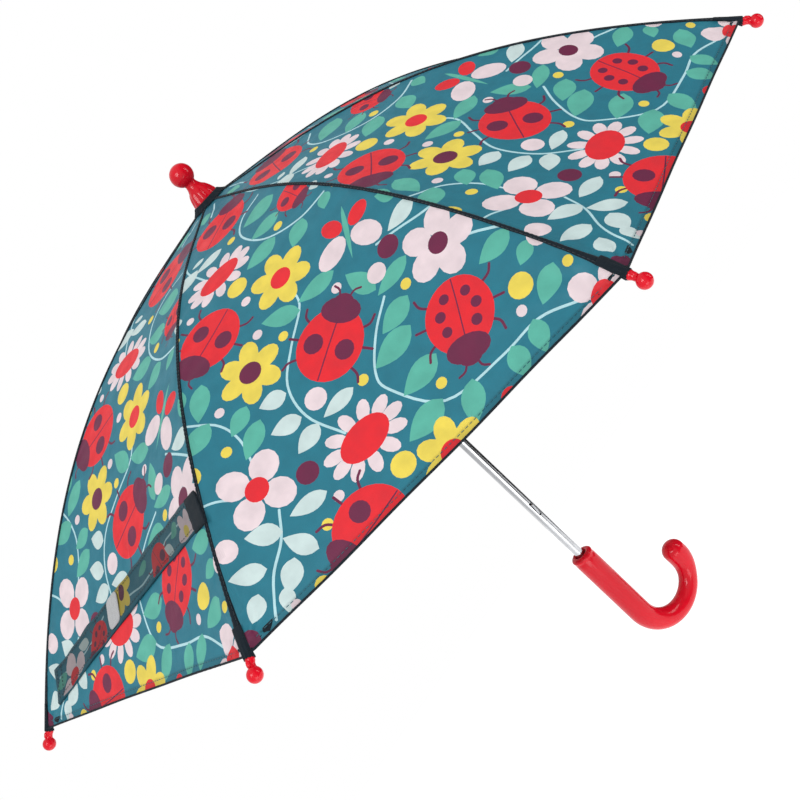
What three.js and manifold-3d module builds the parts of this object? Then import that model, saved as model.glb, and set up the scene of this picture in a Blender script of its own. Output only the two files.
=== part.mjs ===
// Children's umbrella, open: eight ribs, a plastic hook handle and a printed cloth canopy.
// Millimetres, +Z up along the shaft. The frame's origin is the middle of the hand grip.
import * as THREE from "three";
import { mergeVertices } from "three/addons/utils/BufferGeometryUtils.js";
import Module from "manifold-3d";

const wasm = await Module();
wasm.setup();

// ---------------------------------------------------------------- sizes
// Overall
const RIBS = 8; // ribs, stretchers, tips and canopy gores
const TIP_RADIUS = 360; // shaft axis to the centre of a tip's ball
const GRIP_TO_APEX = 452; // hand grip's middle to the top of the canopy
const APEX_TO_MOUTH = 413; // top of the canopy to the top of the handle

// Cloth: the height of the canopy over each rib is a polynomial in radius / TIP_RADIUS
const CROWN_CURVE = [-0.1935, 0.2758, -0.8969, 0.3617];
const CLOTH_THICKNESS = 0.5;
const CLOTH_START = 9; // the gores begin at this radius, under the rosette
const CLOTH_END_ON_RIB = 0.975; // share of TIP_RADIUS where the hem meets a rib
const CLOTH_END_MIDWAY = 0.968; // the same, halfway between two ribs
const SAG = 9.4; // extra dip of the cloth halfway between two ribs
const SAG_FULL_FROM = 0.8; // share of TIP_RADIUS where the dip is fully there
const GORE_GAP = 0.4; // between neighbouring gores
const CLOTH_GAP = 0.8; // cloth to rib
const CLOTH_ROWS = 13;
const CLOTH_COLUMNS = 3; // each side of a rib

// Ribs and stretchers
const RIB_WIDTH = 1.8;
const RIB_HEIGHT = 2.0;
const RIB_GROOVE_WIDTH = 0.8;
const RIB_GROOVE_DEPTH = 1.1;
const RIB_STEPS = 14;
const RIB_EYE_RADIUS = 1.6;
const RIB_STUB = 9; // the thinner end that goes into a tip
const RIB_STUB_HEIGHT = 1.5;
const TIP_DROP = 2.9; // ball centre below the line of the cloth
const STRETCHER_AT = 160; // radius where a stretcher meets its rib
const STRETCHER_LENGTH = 165; // eye to eye
const STRETCHER_THICKNESS = 1.4;
const STRETCHER_HEIGHT = 2.4;
const STRETCHER_EYE_RADIUS = 1.9;
const STRETCHER_SIDE = 2.4; // from the rib's middle plane to the stretcher's
const STRETCHER_BELOW = 1.7; // rivet below the rib's middle line
const RIVET_RADIUS = 0.75;
const RIVET_HEAD_RADIUS = 1.7;
const RIVET_HEAD = 0.6;

// Tips
const TIP_BALL_RADIUS = 4.5;
const TIP_NECK_RADIUS = 2.1;
const TIP_NECK = 9.4; // ball centre to the neck's open end
const TIP_COLLAR_RADIUS = 2.7;

// Shaft and its fittings
const SHAFT_RADIUS = 4;
const SHAFT_WALL = 0.6;
const SHAFT_ABOVE_APEX = 8;
const SHAFT_IN_HANDLE = 58;
const FIT = 0.3; // between solids that touch in the real object
const CROWN_RADIUS = 11.5;
const CROWN_TOP = -3.5;
const CROWN_HEIGHT = 8;
const CROWN_PIVOT_RADIUS = 8.5;
const CROWN_PIVOT_Z = -7;
const RING_WIRE_RADIUS = 0.5;
const RING_TUNNEL_RADIUS = 0.85;
const EYE_HOLE_RADIUS = 0.9;
const STOP_PIN_RADIUS = 1;
const STOP_PIN_LENGTH = 12;

// Ferrule and rosette
const FERRULE_BALL_RADIUS = 9;
const FERRULE_BALL_Z = 25.4;
const FERRULE_NECK_RADIUS = 4.5;
const FERRULE_SKIRT_RADIUS = 10.8;
const FERRULE_FLUTES = 8;
const ROSETTE_RADIUS = 15.5;

// Runner
const RUNNER_PIVOT_RADIUS = 9.5;
const RUNNER_FLANGE_RADIUS = 13;
const RUNNER_TUBE_RADIUS = 7;
const RUNNER_FOOT_RADIUS = 9.5;
const RUNNER_ABOVE_PIVOT = 4;
const RUNNER_BELOW_PIVOT = 4.2;
const RUNNER_LENGTH = 52;
const RUNNER_FOOT = 3.5;
const WINDOW_WIDTH = 3.2;
const WINDOW_HEIGHT = 15;

// Catches
const CATCH_WIDTH = 1.6;
const CATCH_HEIGHT = 12;
const CATCH_OUT = 2.8; // how far a catch stands out of the shaft
const CATCH_IN = 1.4; // how far it reaches inside
const CATCH_SLOT_WIDTH = 2.4;
const CLOSING_ANGLE = 64.68; // degrees a rib swings down to close

// Handle
const GRIP_RADIUS = 10;
const GRIP_STRAIGHT = 77;
const HOOK_RADIUS = 30.5;
const HOOK_SWEEP = 182; // degrees
const HOOK_TAIL = 4;
const HOOK_THIN_RADIUS = 8.1;
const HOOK_END_RADIUS = 10.2;
const MOUTH_RADIUS = 5.4;

// Closing strap
const STRAP_WIDTH = 22;
const STRAP_THICKNESS = 0.8;
const STRAP_START = [0.79, 0.03]; // share of TIP_RADIUS, share of the way to the next rib
const STRAP_END = [0.93, 0.93];
const STRAP_BOW = 0.135; // four times its bend towards the apex, a share of TIP_RADIUS
const STRAP_LIFT = 0.5; // over the cloth
const PATCH_AT = 0.63; // share of the strap's length
const PATCH_LENGTH = 13;
const PATCH_WIDTH = 20;
const PATCH_THICKNESS = 0.8;

// ---------------------------------------------------------------- looks
const paint = (color, roughness, metalness) =>
  new THREE.MeshStandardMaterial({ color, roughness, metalness });
const RED = [0xd8101c, 0.18, 0];
const STEEL = [0xb9bcc0, 0.25, 1];
const CLOTH = [0x2c8ca0, 0.6, 0];
const DARK = [0x16202a, 0.75, 0];
const BLACK = [0x1b1b1d, 0.35, 0];
const GREY = [0xb4b6b8, 0.9, 0];

// ---------------------------------------------------------------- solids
// A geometry with only its places, every shared vertex merged, facing out.
function solid(geometry) {
  const g = geometry.clone();
  for (const name of Object.keys(g.attributes)) {
    if (name !== "position") g.deleteAttribute(name);
  }
  const merged = mergeVertices(g, 1e-4);
  const old = merged.index.array;
  const p = merged.attributes.position.array;
  const at = (i) => new THREE.Vector3(p[3 * i], p[3 * i + 1], p[3 * i + 2]);
  const index = [];
  let volume = 0;
  for (let i = 0; i < old.length; i += 3) {
    const [a, b, c] = [old[i], old[i + 1], old[i + 2]];
    if (a === b || b === c || c === a) continue;
    index.push(a, b, c);
    volume += at(a).dot(at(b).cross(at(c)));
  }
  if (volume < 0) index.reverse();
  merged.setIndex(index);
  return merged;
}

function toManifold(geometry) {
  const g = solid(geometry);
  return new wasm.Manifold(
    new wasm.Mesh({
      numProp: 3,
      vertProperties: new Float32Array(g.attributes.position.array),
      triVerts: new Uint32Array(g.index.array),
    }),
  );
}

function fromManifold(body) {
  const m = body.getMesh();
  const g = new THREE.BufferGeometry();
  g.setAttribute("position", new THREE.BufferAttribute(new Float32Array(m.vertProperties), 3));
  g.setIndex(Array.from(m.triVerts));
  return g;
}

// base with every tool cut away
function cut(base, tools) {
  let body = toManifold(base);
  for (const tool of tools) body = body.subtract(toManifold(tool));
  return fromManifold(body);
}

// A profile of [radius, height] pairs turned about Z.
function turned(profile, segments) {
  const points = profile.map(([r, z]) => new THREE.Vector2(r, z));
  return solid(new THREE.LatheGeometry(points, segments).rotateX(Math.PI / 2));
}

// A hollow turned piece: the profile is closed on itself.
function turnedTube(profile, segments) {
  return turned([...profile, profile[0]], segments);
}

function block(size, centre) {
  return new THREE.BoxGeometry(...size).translate(...centre);
}

// A wire ring about Z.
function ring(radius, wire, z, around = 32, across = 5) {
  return new THREE.TorusGeometry(radius, wire, across, around).translate(0, 0, z);
}

// A side view in X and Z, as a Shape, given thickness along Y about the plane y = middle.
function plate(shape, thickness, middle) {
  const g = new THREE.ExtrudeGeometry(shape, {
    depth: thickness,
    bevelEnabled: false,
    curveSegments: 5,
  });
  return g.rotateX(Math.PI / 2).translate(0, middle + thickness / 2, 0);
}

// A round bar along a path in the XZ plane: stations of [x, z, direction angle, radius].
function bar(stations, sides) {
  const places = [];
  const index = [];
  for (const [x, z, angle, radius] of stations) {
    for (let k = 0; k < sides; k++) {
      const t = (2 * Math.PI * k) / sides;
      const across = radius * Math.cos(t);
      places.push(x - across * Math.sin(angle), radius * Math.sin(t), z + across * Math.cos(angle));
    }
  }
  const last = stations.length - 1;
  for (let i = 0; i < last; i++) {
    for (let k = 0; k < sides; k++) {
      const a = i * sides + k;
      const b = i * sides + ((k + 1) % sides);
      index.push(a, b, a + sides, b, b + sides, a + sides);
    }
  }
  for (const [i, turn] of [[0, 1], [last, 0]]) {
    const [x, z] = stations[i];
    const centre = places.length / 3;
    places.push(x, 0, z);
    for (let k = 0; k < sides; k++) {
      const a = i * sides + k;
      const b = i * sides + ((k + 1) % sides);
      index.push(...(turn ? [centre, b, a] : [centre, a, b]));
    }
  }
  const g = new THREE.BufferGeometry();
  g.setAttribute("position", new THREE.Float32BufferAttribute(places, 3));
  g.setIndex(index);
  return solid(g);
}

// A thin closed sheet from a grid of upper and lower points.
function sheet(rows, columns, upper, lower) {
  const places = [];
  const index = [];
  const side = (rows + 1) * (columns + 1);
  for (const layer of [upper, lower]) {
    for (let i = 0; i <= rows; i++) {
      for (let j = 0; j <= columns; j++) places.push(...layer(i / rows, j / columns));
    }
  }
  const at = (i, j, low) => i * (columns + 1) + j + (low ? side : 0);
  const quad = (a, b, c, d) => index.push(a, b, c, a, c, d);
  for (let i = 0; i < rows; i++) {
    for (let j = 0; j < columns; j++) {
      quad(at(i, j), at(i + 1, j), at(i + 1, j + 1), at(i, j + 1));
      quad(at(i, j, 1), at(i, j + 1, 1), at(i + 1, j + 1, 1), at(i + 1, j, 1));
    }
  }
  for (let i = 0; i < rows; i++) {
    quad(at(i, 0), at(i, 0, 1), at(i + 1, 0, 1), at(i + 1, 0));
    quad(at(i, columns), at(i + 1, columns), at(i + 1, columns, 1), at(i, columns, 1));
  }
  for (let j = 0; j < columns; j++) {
    quad(at(0, j), at(0, j + 1), at(0, j + 1, 1), at(0, j, 1));
    quad(at(rows, j), at(rows, j, 1), at(rows, j + 1, 1), at(rows, j + 1));
  }
  const g = new THREE.BufferGeometry();
  g.setAttribute("position", new THREE.Float32BufferAttribute(places, 3));
  g.setIndex(index);
  return solid(g);
}

// ---------------------------------------------------------------- shared lines
const HALF_SECTOR = Math.PI / RIBS;
const smooth = (t) => t * t * (3 - 2 * t);
const clamp01 = (t) => Math.min(1, Math.max(0, t));

// Height of the cloth's upper side over a rib, and its slope, at radius r.
function clothHeight(r) {
  const q = r / TIP_RADIUS;
  return TIP_RADIUS * CROWN_CURVE.reduce((sum, c, i) => sum + c * q ** (i + 1), 0);
}
function clothSlope(r) {
  const q = r / TIP_RADIUS;
  return CROWN_CURVE.reduce((sum, c, i) => sum + (i + 1) * c * q ** i, 0);
}

// The cloth between two ribs is stretched over straight chords, and dips between them.
// rc: radius where the chord meets the ribs. w: 0 at this rib, 1 at the next one.
function clothPoint(rc, w, drop = 0) {
  const away = 1 - Math.abs(1 - 2 * w);
  const dip = SAG * Math.min(1, (rc / TIP_RADIUS / SAG_FULL_FROM) ** 2) * (1 - (1 - away) ** 2);
  const angle = 2 * HALF_SECTOR;
  const x = rc * (1 - w + w * Math.cos(angle));
  const y = rc * w * Math.sin(angle);
  const down = drop * Math.hypot(1, clothSlope(rc));
  return [x, y, clothHeight(rc) - dip - down];
}

// Middle line of a rib in its own plane. It leaves the cloth near the crown to reach its pivot.
const RIB_UNDER = CLOTH_THICKNESS + CLOTH_GAP + RIB_HEIGHT / 2;
function ribLine(r) {
  const under = RIB_UNDER * Math.hypot(1, clothSlope(r));
  const at = clothHeight(CROWN_PIVOT_RADIUS) - RIB_UNDER;
  const extra = at - CROWN_PIVOT_Z;
  const left = 1 - smooth(clamp01((r - CROWN_PIVOT_RADIUS) / 40));
  return clothHeight(r) - under - extra * left;
}
// A place [x, z] in a rib's plane once the rib has swung down about its pivot at the crown.
function swungDown([x, z]) {
  const a = (-CLOSING_ANGLE * Math.PI) / 180;
  const [dx, dz] = [x - CROWN_PIVOT_RADIUS, z - CROWN_PIVOT_Z];
  return [
    CROWN_PIVOT_RADIUS + dx * Math.cos(a) - dz * Math.sin(a),
    CROWN_PIVOT_Z + dx * Math.sin(a) + dz * Math.cos(a),
  ];
}
const TIP_CENTRE = [TIP_RADIUS, clothHeight(TIP_RADIUS) - TIP_DROP];
const STRETCHER_TOP = [STRETCHER_AT, ribLine(STRETCHER_AT) - STRETCHER_BELOW];
const RUNNER_PIVOT_X = Math.sqrt(RUNNER_PIVOT_RADIUS ** 2 - STRETCHER_SIDE ** 2);
// Where the runner's pivot is for a stretcher whose upper end is at x, z.
const runnerPivot = ([x, z]) => z - Math.sqrt(STRETCHER_LENGTH ** 2 - (x - RUNNER_PIVOT_X) ** 2);
const RUNNER_PIVOT_Z = runnerPivot(STRETCHER_TOP);
// The runner's way down to the closed umbrella
const CLOSED_TRAVEL = RUNNER_PIVOT_Z - runnerPivot(swungDown(STRETCHER_TOP));
const RUNNER_TOP = RUNNER_PIVOT_Z + RUNNER_ABOVE_PIVOT;
const RUNNER_BOTTOM = RUNNER_TOP - RUNNER_LENGTH;
const MOUTH_Z = -APEX_TO_MOUTH;
const SHAFT_BOTTOM = MOUTH_Z - SHAFT_IN_HANDLE;
const TOP_CATCH_Z = RUNNER_BOTTOM - 0.5; // its shoulder
const WINDOW_TOP = RUNNER_BOTTOM + RUNNER_FOOT + 0.4 + WINDOW_HEIGHT;
const BOTTOM_CATCH_Z = WINDOW_TOP - CLOSED_TRAVEL - 1.4;

// ---------------------------------------------------------------- root pieces
function shaft() {
  const inner = SHAFT_RADIUS - SHAFT_WALL;
  const tube = turnedTube(
    [
      [inner, SHAFT_BOTTOM],
      [SHAFT_RADIUS, SHAFT_BOTTOM],
      [SHAFT_RADIUS, SHAFT_ABOVE_APEX],
      [inner, SHAFT_ABOVE_APEX],
    ],
    40,
  );
  const slots = [TOP_CATCH_Z, BOTTOM_CATCH_Z].map((z) =>
    block(
      [CATCH_SLOT_WIDTH, SHAFT_RADIUS, CATCH_HEIGHT + 2],
      [0, -SHAFT_RADIUS, z - CATCH_HEIGHT / 2],
    ),
  );
  const hole = new THREE.CylinderGeometry(
    STOP_PIN_RADIUS + 0.2,
    STOP_PIN_RADIUS + 0.2,
    STOP_PIN_LENGTH + 2,
    16,
  )
    .rotateZ(Math.PI / 2)
    .translate(0, 0, RUNNER_TOP + STOP_PIN_RADIUS + 0.6);
  return cut(tube, [...slots, hole]);
}

function stopPin() {
  return new THREE.CylinderGeometry(STOP_PIN_RADIUS, STOP_PIN_RADIUS, STOP_PIN_LENGTH, 16)
    .rotateZ(Math.PI / 2)
    .translate(0, 0, RUNNER_TOP + STOP_PIN_RADIUS + 0.6);
}

// Knob on a neck over a fluted skirt, with a blind hole for the shaft.
function ferrule() {
  const bore = SHAFT_RADIUS + FIT;
  const skirt = [
    [bore, SHAFT_ABOVE_APEX + 0.4],
    [bore, 1.7],
    [FERRULE_SKIRT_RADIUS - 0.6, 1.7],
    [FERRULE_SKIRT_RADIUS, 2.3],
    [FERRULE_SKIRT_RADIUS - 0.2, 4],
    [FERRULE_SKIRT_RADIUS - 1.5, 7],
    [FERRULE_SKIRT_RADIUS - 3.1, 10],
    [FERRULE_NECK_RADIUS + 1.7, 12.5],
    [FERRULE_NECK_RADIUS + 0.6, 14.5],
    [FERRULE_NECK_RADIUS, 16],
  ];
  const profile = [[0, SHAFT_ABOVE_APEX + 0.4], ...skirt];
  const first = Math.asin(FERRULE_NECK_RADIUS / FERRULE_BALL_RADIUS);
  const steps = 10;
  for (let i = 0; i <= steps; i++) {
    const t = first + ((Math.PI - first) * i) / steps;
    profile.push([
      i === steps ? 0 : FERRULE_BALL_RADIUS * Math.sin(t),
      FERRULE_BALL_Z - FERRULE_BALL_RADIUS * Math.cos(t),
    ]);
  }
  const flutes = [];
  for (let i = 0; i < FERRULE_FLUTES; i++) {
    const tool = new THREE.CylinderGeometry(0.9, 0.9, 14, 8)
      .rotateX(Math.PI / 2)
      .rotateY(-0.5)
      .translate(FERRULE_SKIRT_RADIUS - 0.9, 0, 6.4);
    flutes.push(tool.rotateZ(2 * HALF_SECTOR * (i + 0.5)));
  }
  return cut(turned(profile, 28), flutes);
}

// Dark gathered cloth ring between the ferrule and the canopy.
function rosette() {
  const inner = SHAFT_RADIUS + FIT;
  const under = (r) => clothHeight(r) + 0.35;
  return turnedTube(
    [
      [inner, under(inner)],
      [ROSETTE_RADIUS - 1, under(ROSETTE_RADIUS - 1)],
      [ROSETTE_RADIUS, under(ROSETTE_RADIUS) + 0.4],
      [ROSETTE_RADIUS - 0.8, under(ROSETTE_RADIUS) + 1.5],
      [FERRULE_SKIRT_RADIUS, 0.9],
      [inner, 1.3],
    ],
    24,
  );
}

// Slotted ring on the shaft that holds the ribs on a wire.
function crown() {
  const inner = SHAFT_RADIUS + FIT;
  const bottom = CROWN_TOP - CROWN_HEIGHT;
  const body = turnedTube(
    [
      [inner, bottom],
      [CROWN_RADIUS - 1.5, bottom],
      [CROWN_RADIUS, bottom + 1.5],
      [CROWN_RADIUS, CROWN_TOP - 0.8],
      [CROWN_RADIUS - 0.8, CROWN_TOP],
      [inner, CROWN_TOP],
    ],
    32,
  );
  const slots = [];
  const slotInner = CROWN_PIVOT_RADIUS - RIB_EYE_RADIUS - 0.7;
  for (let i = 0; i < RIBS; i++) {
    const slot = block(
      [10, RIB_WIDTH + 0.8, CROWN_HEIGHT + 2],
      [slotInner + 5, 0, CROWN_TOP - CROWN_HEIGHT / 2],
    );
    slots.push(slot.rotateZ(2 * HALF_SECTOR * i));
  }
  const tunnel = ring(CROWN_PIVOT_RADIUS, RING_TUNNEL_RADIUS, CROWN_PIVOT_Z);
  return cut(body, [...slots, tunnel]);
}

// ---------------------------------------------------------------- handle
function handle() {
  const stations = [
    [0, MOUTH_Z, -Math.PI / 2, MOUTH_RADIUS + 0.9],
    [0, MOUTH_Z - 0.7, -Math.PI / 2, GRIP_RADIUS - 0.7],
    [0, MOUTH_Z - 1.8, -Math.PI / 2, GRIP_RADIUS + 0.1],
    [0, MOUTH_Z - 3.4, -Math.PI / 2, GRIP_RADIUS + 0.1],
    [0, MOUTH_Z - 4.6, -Math.PI / 2, GRIP_RADIUS - 0.25],
    [0, MOUTH_Z - 7, -Math.PI / 2, GRIP_RADIUS - 0.1],
    [0, MOUTH_Z - GRIP_STRAIGHT / 2, -Math.PI / 2, GRIP_RADIUS],
  ];
  const bend = MOUTH_Z - GRIP_STRAIGHT;
  const steps = 15;
  const place = (a) => [
    HOOK_RADIUS * (1 - Math.cos(a)),
    bend - HOOK_RADIUS * Math.sin(a),
    -Math.PI / 2 + a,
  ];
  const sweep = THREE.MathUtils.degToRad(HOOK_SWEEP);
  const radius = (share) =>
    share < 0.75
      ? THREE.MathUtils.lerp(GRIP_RADIUS, HOOK_THIN_RADIUS, smooth(share / 0.75))
      : THREE.MathUtils.lerp(HOOK_THIN_RADIUS, HOOK_END_RADIUS, smooth((share - 0.75) / 0.25));
  for (let i = 0; i <= steps; i++) {
    const share = i / steps;
    stations.push([...place(sweep * share), radius(share)]);
  }
  const [x, z, angle] = place(sweep);
  for (let i = 0; i < 6; i++) {
    const t = (i / 6) * (Math.PI / 2) + 0.05;
    const on = HOOK_TAIL + HOOK_END_RADIUS * Math.sin(t) * 0.95;
    const r = HOOK_END_RADIUS * Math.cos(t);
    stations.push([x + on * Math.cos(angle), z + on * Math.sin(angle), angle, r]);
  }
  const end = HOOK_TAIL + HOOK_END_RADIUS * 0.95;
  stations.push([x + end * Math.cos(angle), z + end * Math.sin(angle), angle, 0.8]);
  const bore = SHAFT_RADIUS + FIT;
  const hollow = turned(
    [
      [0, SHAFT_BOTTOM - 0.6],
      [bore, SHAFT_BOTTOM - 0.6],
      [bore, MOUTH_Z - 4],
      [MOUTH_RADIUS, MOUTH_Z - 1.6],
      [MOUTH_RADIUS, MOUTH_Z + 1],
      [0, MOUTH_Z + 1],
    ],
    32,
  );
  return cut(bar(stations, 20), [hollow]);
}

// ---------------------------------------------------------------- runner
function runner() {
  const inner = SHAFT_RADIUS + FIT;
  const flangeBottom = RUNNER_PIVOT_Z - RUNNER_BELOW_PIVOT;
  const body = turnedTube(
    [
      [inner, RUNNER_BOTTOM],
      [RUNNER_FOOT_RADIUS - 0.6, RUNNER_BOTTOM],
      [RUNNER_FOOT_RADIUS, RUNNER_BOTTOM + 0.6],
      [RUNNER_FOOT_RADIUS, RUNNER_BOTTOM + RUNNER_FOOT - 0.6],
      [RUNNER_TUBE_RADIUS, RUNNER_BOTTOM + RUNNER_FOOT],
      [RUNNER_TUBE_RADIUS, flangeBottom - 3],
      [RUNNER_FLANGE_RADIUS - 1, flangeBottom],
      [RUNNER_FLANGE_RADIUS, flangeBottom + 0.8],
      [RUNNER_FLANGE_RADIUS, RUNNER_TOP - 0.8],
      [RUNNER_FLANGE_RADIUS - 0.8, RUNNER_TOP],
      [inner, RUNNER_TOP],
    ],
    32,
  );
  const slotFloor = RUNNER_PIVOT_Z - STRETCHER_EYE_RADIUS - 0.5;
  const slotInner = RUNNER_PIVOT_X - STRETCHER_EYE_RADIUS - 0.35;
  const slotHeight = RUNNER_TOP + 1 - slotFloor;
  const tools = [];
  for (let i = 0; i < RIBS; i++) {
    const slot = block(
      [10, STRETCHER_THICKNESS + 0.8, slotHeight],
      [slotInner + 5, STRETCHER_SIDE, slotFloor + slotHeight / 2],
    );
    tools.push(slot.rotateZ(2 * HALF_SECTOR * i));
  }
  tools.push(ring(RUNNER_PIVOT_RADIUS, RING_TUNNEL_RADIUS, RUNNER_PIVOT_Z));
  tools.push(
    block([WINDOW_WIDTH, 8, WINDOW_HEIGHT], [0, -SHAFT_RADIUS - 3, WINDOW_TOP - WINDOW_HEIGHT / 2]),
  );
  return cut(body, tools);
}

// A leaf spring's wedge: its shoulder is at the top, and it tapers into the shaft below.
function catchWedge(z) {
  const out = SHAFT_RADIUS + CATCH_OUT;
  const back = SHAFT_RADIUS - CATCH_IN;
  const shape = new THREE.Shape();
  shape.moveTo(back, z);
  shape.lineTo(out - 0.4, z);
  shape.lineTo(out, z - 0.5);
  shape.lineTo(out - 0.3, z - 2.5);
  shape.lineTo(SHAFT_RADIUS - 0.6, z - CATCH_HEIGHT);
  shape.lineTo(back, z - CATCH_HEIGHT);
  return plate(shape, CATCH_WIDTH, 0).rotateZ(-Math.PI / 2);
}

// ---------------------------------------------------------------- one rib's pieces, on +X
// The rib's outline is an arc strip with an eye at the crown, grooved underneath.
function ribSide(top, bottom, from, to, stubHeight) {
  const points = { up: [], down: [] };
  for (let i = 0; i <= RIB_STEPS; i++) {
    const r = from + ((to - from) * i) / RIB_STEPS;
    const slope = (ribLine(r + 0.5) - ribLine(r - 0.5)) / 1;
    const length = Math.hypot(1, slope);
    const thin = stubHeight && r > to - RIB_STUB * 0.75 ? stubHeight / RIB_HEIGHT : 1;
    const offset = (d) => [r - (d * thin * slope) / length, ribLine(r) + (d * thin) / length];
    points.up.push(offset(top));
    points.down.push(offset(bottom));
  }
  return points;
}

function rib() {
  const half = RIB_HEIGHT / 2;
  const end = TIP_RADIUS - TIP_BALL_RADIUS - 2;
  const start = CROWN_PIVOT_RADIUS + RIB_EYE_RADIUS * 0.85;
  const { up, down } = ribSide(half, -half, start, end, RIB_STUB_HEIGHT);
  const shape = new THREE.Shape();
  const angle = Math.asin(half / RIB_EYE_RADIUS);
  shape.moveTo(...down[0]);
  for (const point of down.slice(1)) shape.lineTo(...point);
  for (const point of up.slice().reverse()) shape.lineTo(...point);
  shape.absarc(CROWN_PIVOT_RADIUS, CROWN_PIVOT_Z, RIB_EYE_RADIUS, angle, 2 * Math.PI - angle, false);
  const hole = new THREE.Path();
  hole.absarc(CROWN_PIVOT_RADIUS, CROWN_PIVOT_Z, EYE_HOLE_RADIUS, 0, 2 * Math.PI, true);
  shape.holes.push(hole);
  const groove = new THREE.Shape();
  const side = ribSide(half - RIB_GROOVE_DEPTH + 0.2, -half - 1, start + 6, end - RIB_STUB - 4);
  groove.moveTo(...side.down[0]);
  for (const point of side.down.slice(1)) groove.lineTo(...point);
  for (const point of side.up.slice().reverse()) groove.lineTo(...point);
  return cut(plate(shape, RIB_WIDTH, 0), [plate(groove, RIB_GROOVE_WIDTH, 0)]);
}

// Ball on a hollow neck with a collar, turned about Z and then laid along the rib's end.
function tip() {
  const bore = Math.hypot(RIB_WIDTH, RIB_STUB_HEIGHT) / 2 + 0.28;
  const deep = -TIP_BALL_RADIUS + 1.4;
  const neck = [
    [0, deep],
    [bore, deep],
    [bore, -TIP_NECK],
    [TIP_COLLAR_RADIUS - 0.4, -TIP_NECK],
    [TIP_COLLAR_RADIUS, -TIP_NECK + 0.5],
    [TIP_COLLAR_RADIUS - 0.1, -TIP_NECK + 2],
    [TIP_NECK_RADIUS, -TIP_NECK + 3],
  ];
  const first = Math.asin(TIP_NECK_RADIUS / TIP_BALL_RADIUS);
  const steps = 7;
  for (let i = 0; i <= steps; i++) {
    const t = first + ((Math.PI - first) * i) / steps;
    neck.push([
      i === steps ? 0 : TIP_BALL_RADIUS * Math.sin(t),
      -TIP_BALL_RADIUS * Math.cos(t),
    ]);
  }
  const slope = (ribLine(TIP_RADIUS) - ribLine(TIP_RADIUS - 10)) / 10;
  return turned(neck, 12)
    .rotateY(Math.PI / 2 - Math.atan(slope))
    .translate(TIP_RADIUS, 0, ribLine(TIP_RADIUS));
}

function stretcher() {
  const [x1, z1] = STRETCHER_TOP;
  const half = STRETCHER_HEIGHT / 2;
  const angle = Math.asin(half / STRETCHER_EYE_RADIUS);
  const shape = new THREE.Shape();
  shape.absarc(0, 0, STRETCHER_EYE_RADIUS, angle, 2 * Math.PI - angle, false);
  shape.absarc(STRETCHER_LENGTH, 0, STRETCHER_EYE_RADIUS, angle - Math.PI, Math.PI - angle, false);
  for (const x of [0, STRETCHER_LENGTH]) {
    const hole = new THREE.Path();
    const radius = x ? RIVET_RADIUS + 0.25 : EYE_HOLE_RADIUS + 0.1;
    hole.absarc(x, 0, radius, 0, 2 * Math.PI, true);
    shape.holes.push(hole);
  }
  const rise = Math.atan2(z1 - RUNNER_PIVOT_Z, x1 - RUNNER_PIVOT_X);
  return plate(shape, STRETCHER_THICKNESS, STRETCHER_SIDE)
    .rotateY(-rise)
    .translate(RUNNER_PIVOT_X, 0, RUNNER_PIVOT_Z);
}

// Headed rivet through the stretcher's outer eye.
function rivet() {
  const inner = STRETCHER_SIDE - STRETCHER_THICKNESS / 2 - 0.45;
  const outer = STRETCHER_SIDE + STRETCHER_THICKNESS / 2 + 0.3;
  const [x, z] = STRETCHER_TOP;
  return turned(
    [
      [0, inner],
      [RIVET_RADIUS, inner],
      [RIVET_RADIUS, outer],
      [RIVET_HEAD_RADIUS, outer],
      [RIVET_HEAD_RADIUS - 0.3, outer + RIVET_HEAD],
      [0, outer + RIVET_HEAD],
    ],
    12,
  )
    .rotateX(-Math.PI / 2)
    .translate(x, 0, z);
}

// The cloth on both sides of a rib, out to the middle of each panel.
function gore() {
  const side = (drop) => (along, across) => {
    const v = 2 * across - 1;
    const w = Math.abs(v) / 2;
    const end = THREE.MathUtils.lerp(CLOTH_END_ON_RIB, CLOTH_END_MIDWAY, (2 * w) ** 2);
    const rc = THREE.MathUtils.lerp(CLOTH_START, end * TIP_RADIUS, along ** 0.85);
    const chord = rc * Math.sin(HALF_SECTOR) * 2;
    const share = w * (1 - GORE_GAP / chord);
    const [x, y, z] = clothPoint(rc, share, drop);
    return [x, Math.sign(v) * y, z];
  };
  return sheet(CLOTH_ROWS, 2 * CLOTH_COLUMNS, side(0), side(CLOTH_THICKNESS));
}

// ---------------------------------------------------------------- strap, from the last rib
// A point over the cloth beside the last rib, towards the rib before it.
function strapPoint(share, across, lift) {
  const [a, b] = [STRAP_START, STRAP_END];
  const bow = STRAP_BOW * share * (1 - share);
  const rc = (THREE.MathUtils.lerp(a[0], b[0], share) - bow) * TIP_RADIUS;
  const w = THREE.MathUtils.lerp(a[1], b[1], share);
  const chord = 2 * TIP_RADIUS * 0.86 * Math.sin(HALF_SECTOR) * (b[1] - a[1]);
  const rise = (b[0] - a[0]) * TIP_RADIUS;
  const length = Math.hypot(chord, rise);
  const out = (across * chord) / length;
  const back = (across * rise) / length / chord;
  const [x, y, z] = clothPoint(rc + out * 0.8, w - back * (b[1] - a[1]));
  return [x, -y, z + lift * Math.hypot(1, clothSlope(rc))];
}

function strap() {
  const layer = (lift) => (along, across) =>
    strapPoint(along, (across - 0.5) * STRAP_WIDTH, lift);
  return sheet(20, 2, layer(STRAP_LIFT + STRAP_THICKNESS), layer(STRAP_LIFT));
}

function strapPatch() {
  const length = 240;
  const layer = (lift) => (along, across) =>
    strapPoint(
      PATCH_AT + ((along - 0.5) * PATCH_LENGTH) / length,
      (across - 0.5) * PATCH_WIDTH,
      lift,
    );
  const low = STRAP_LIFT + STRAP_THICKNESS + 0.35;
  return sheet(2, 2, layer(low + PATCH_THICKNESS), layer(low));
}

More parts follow.
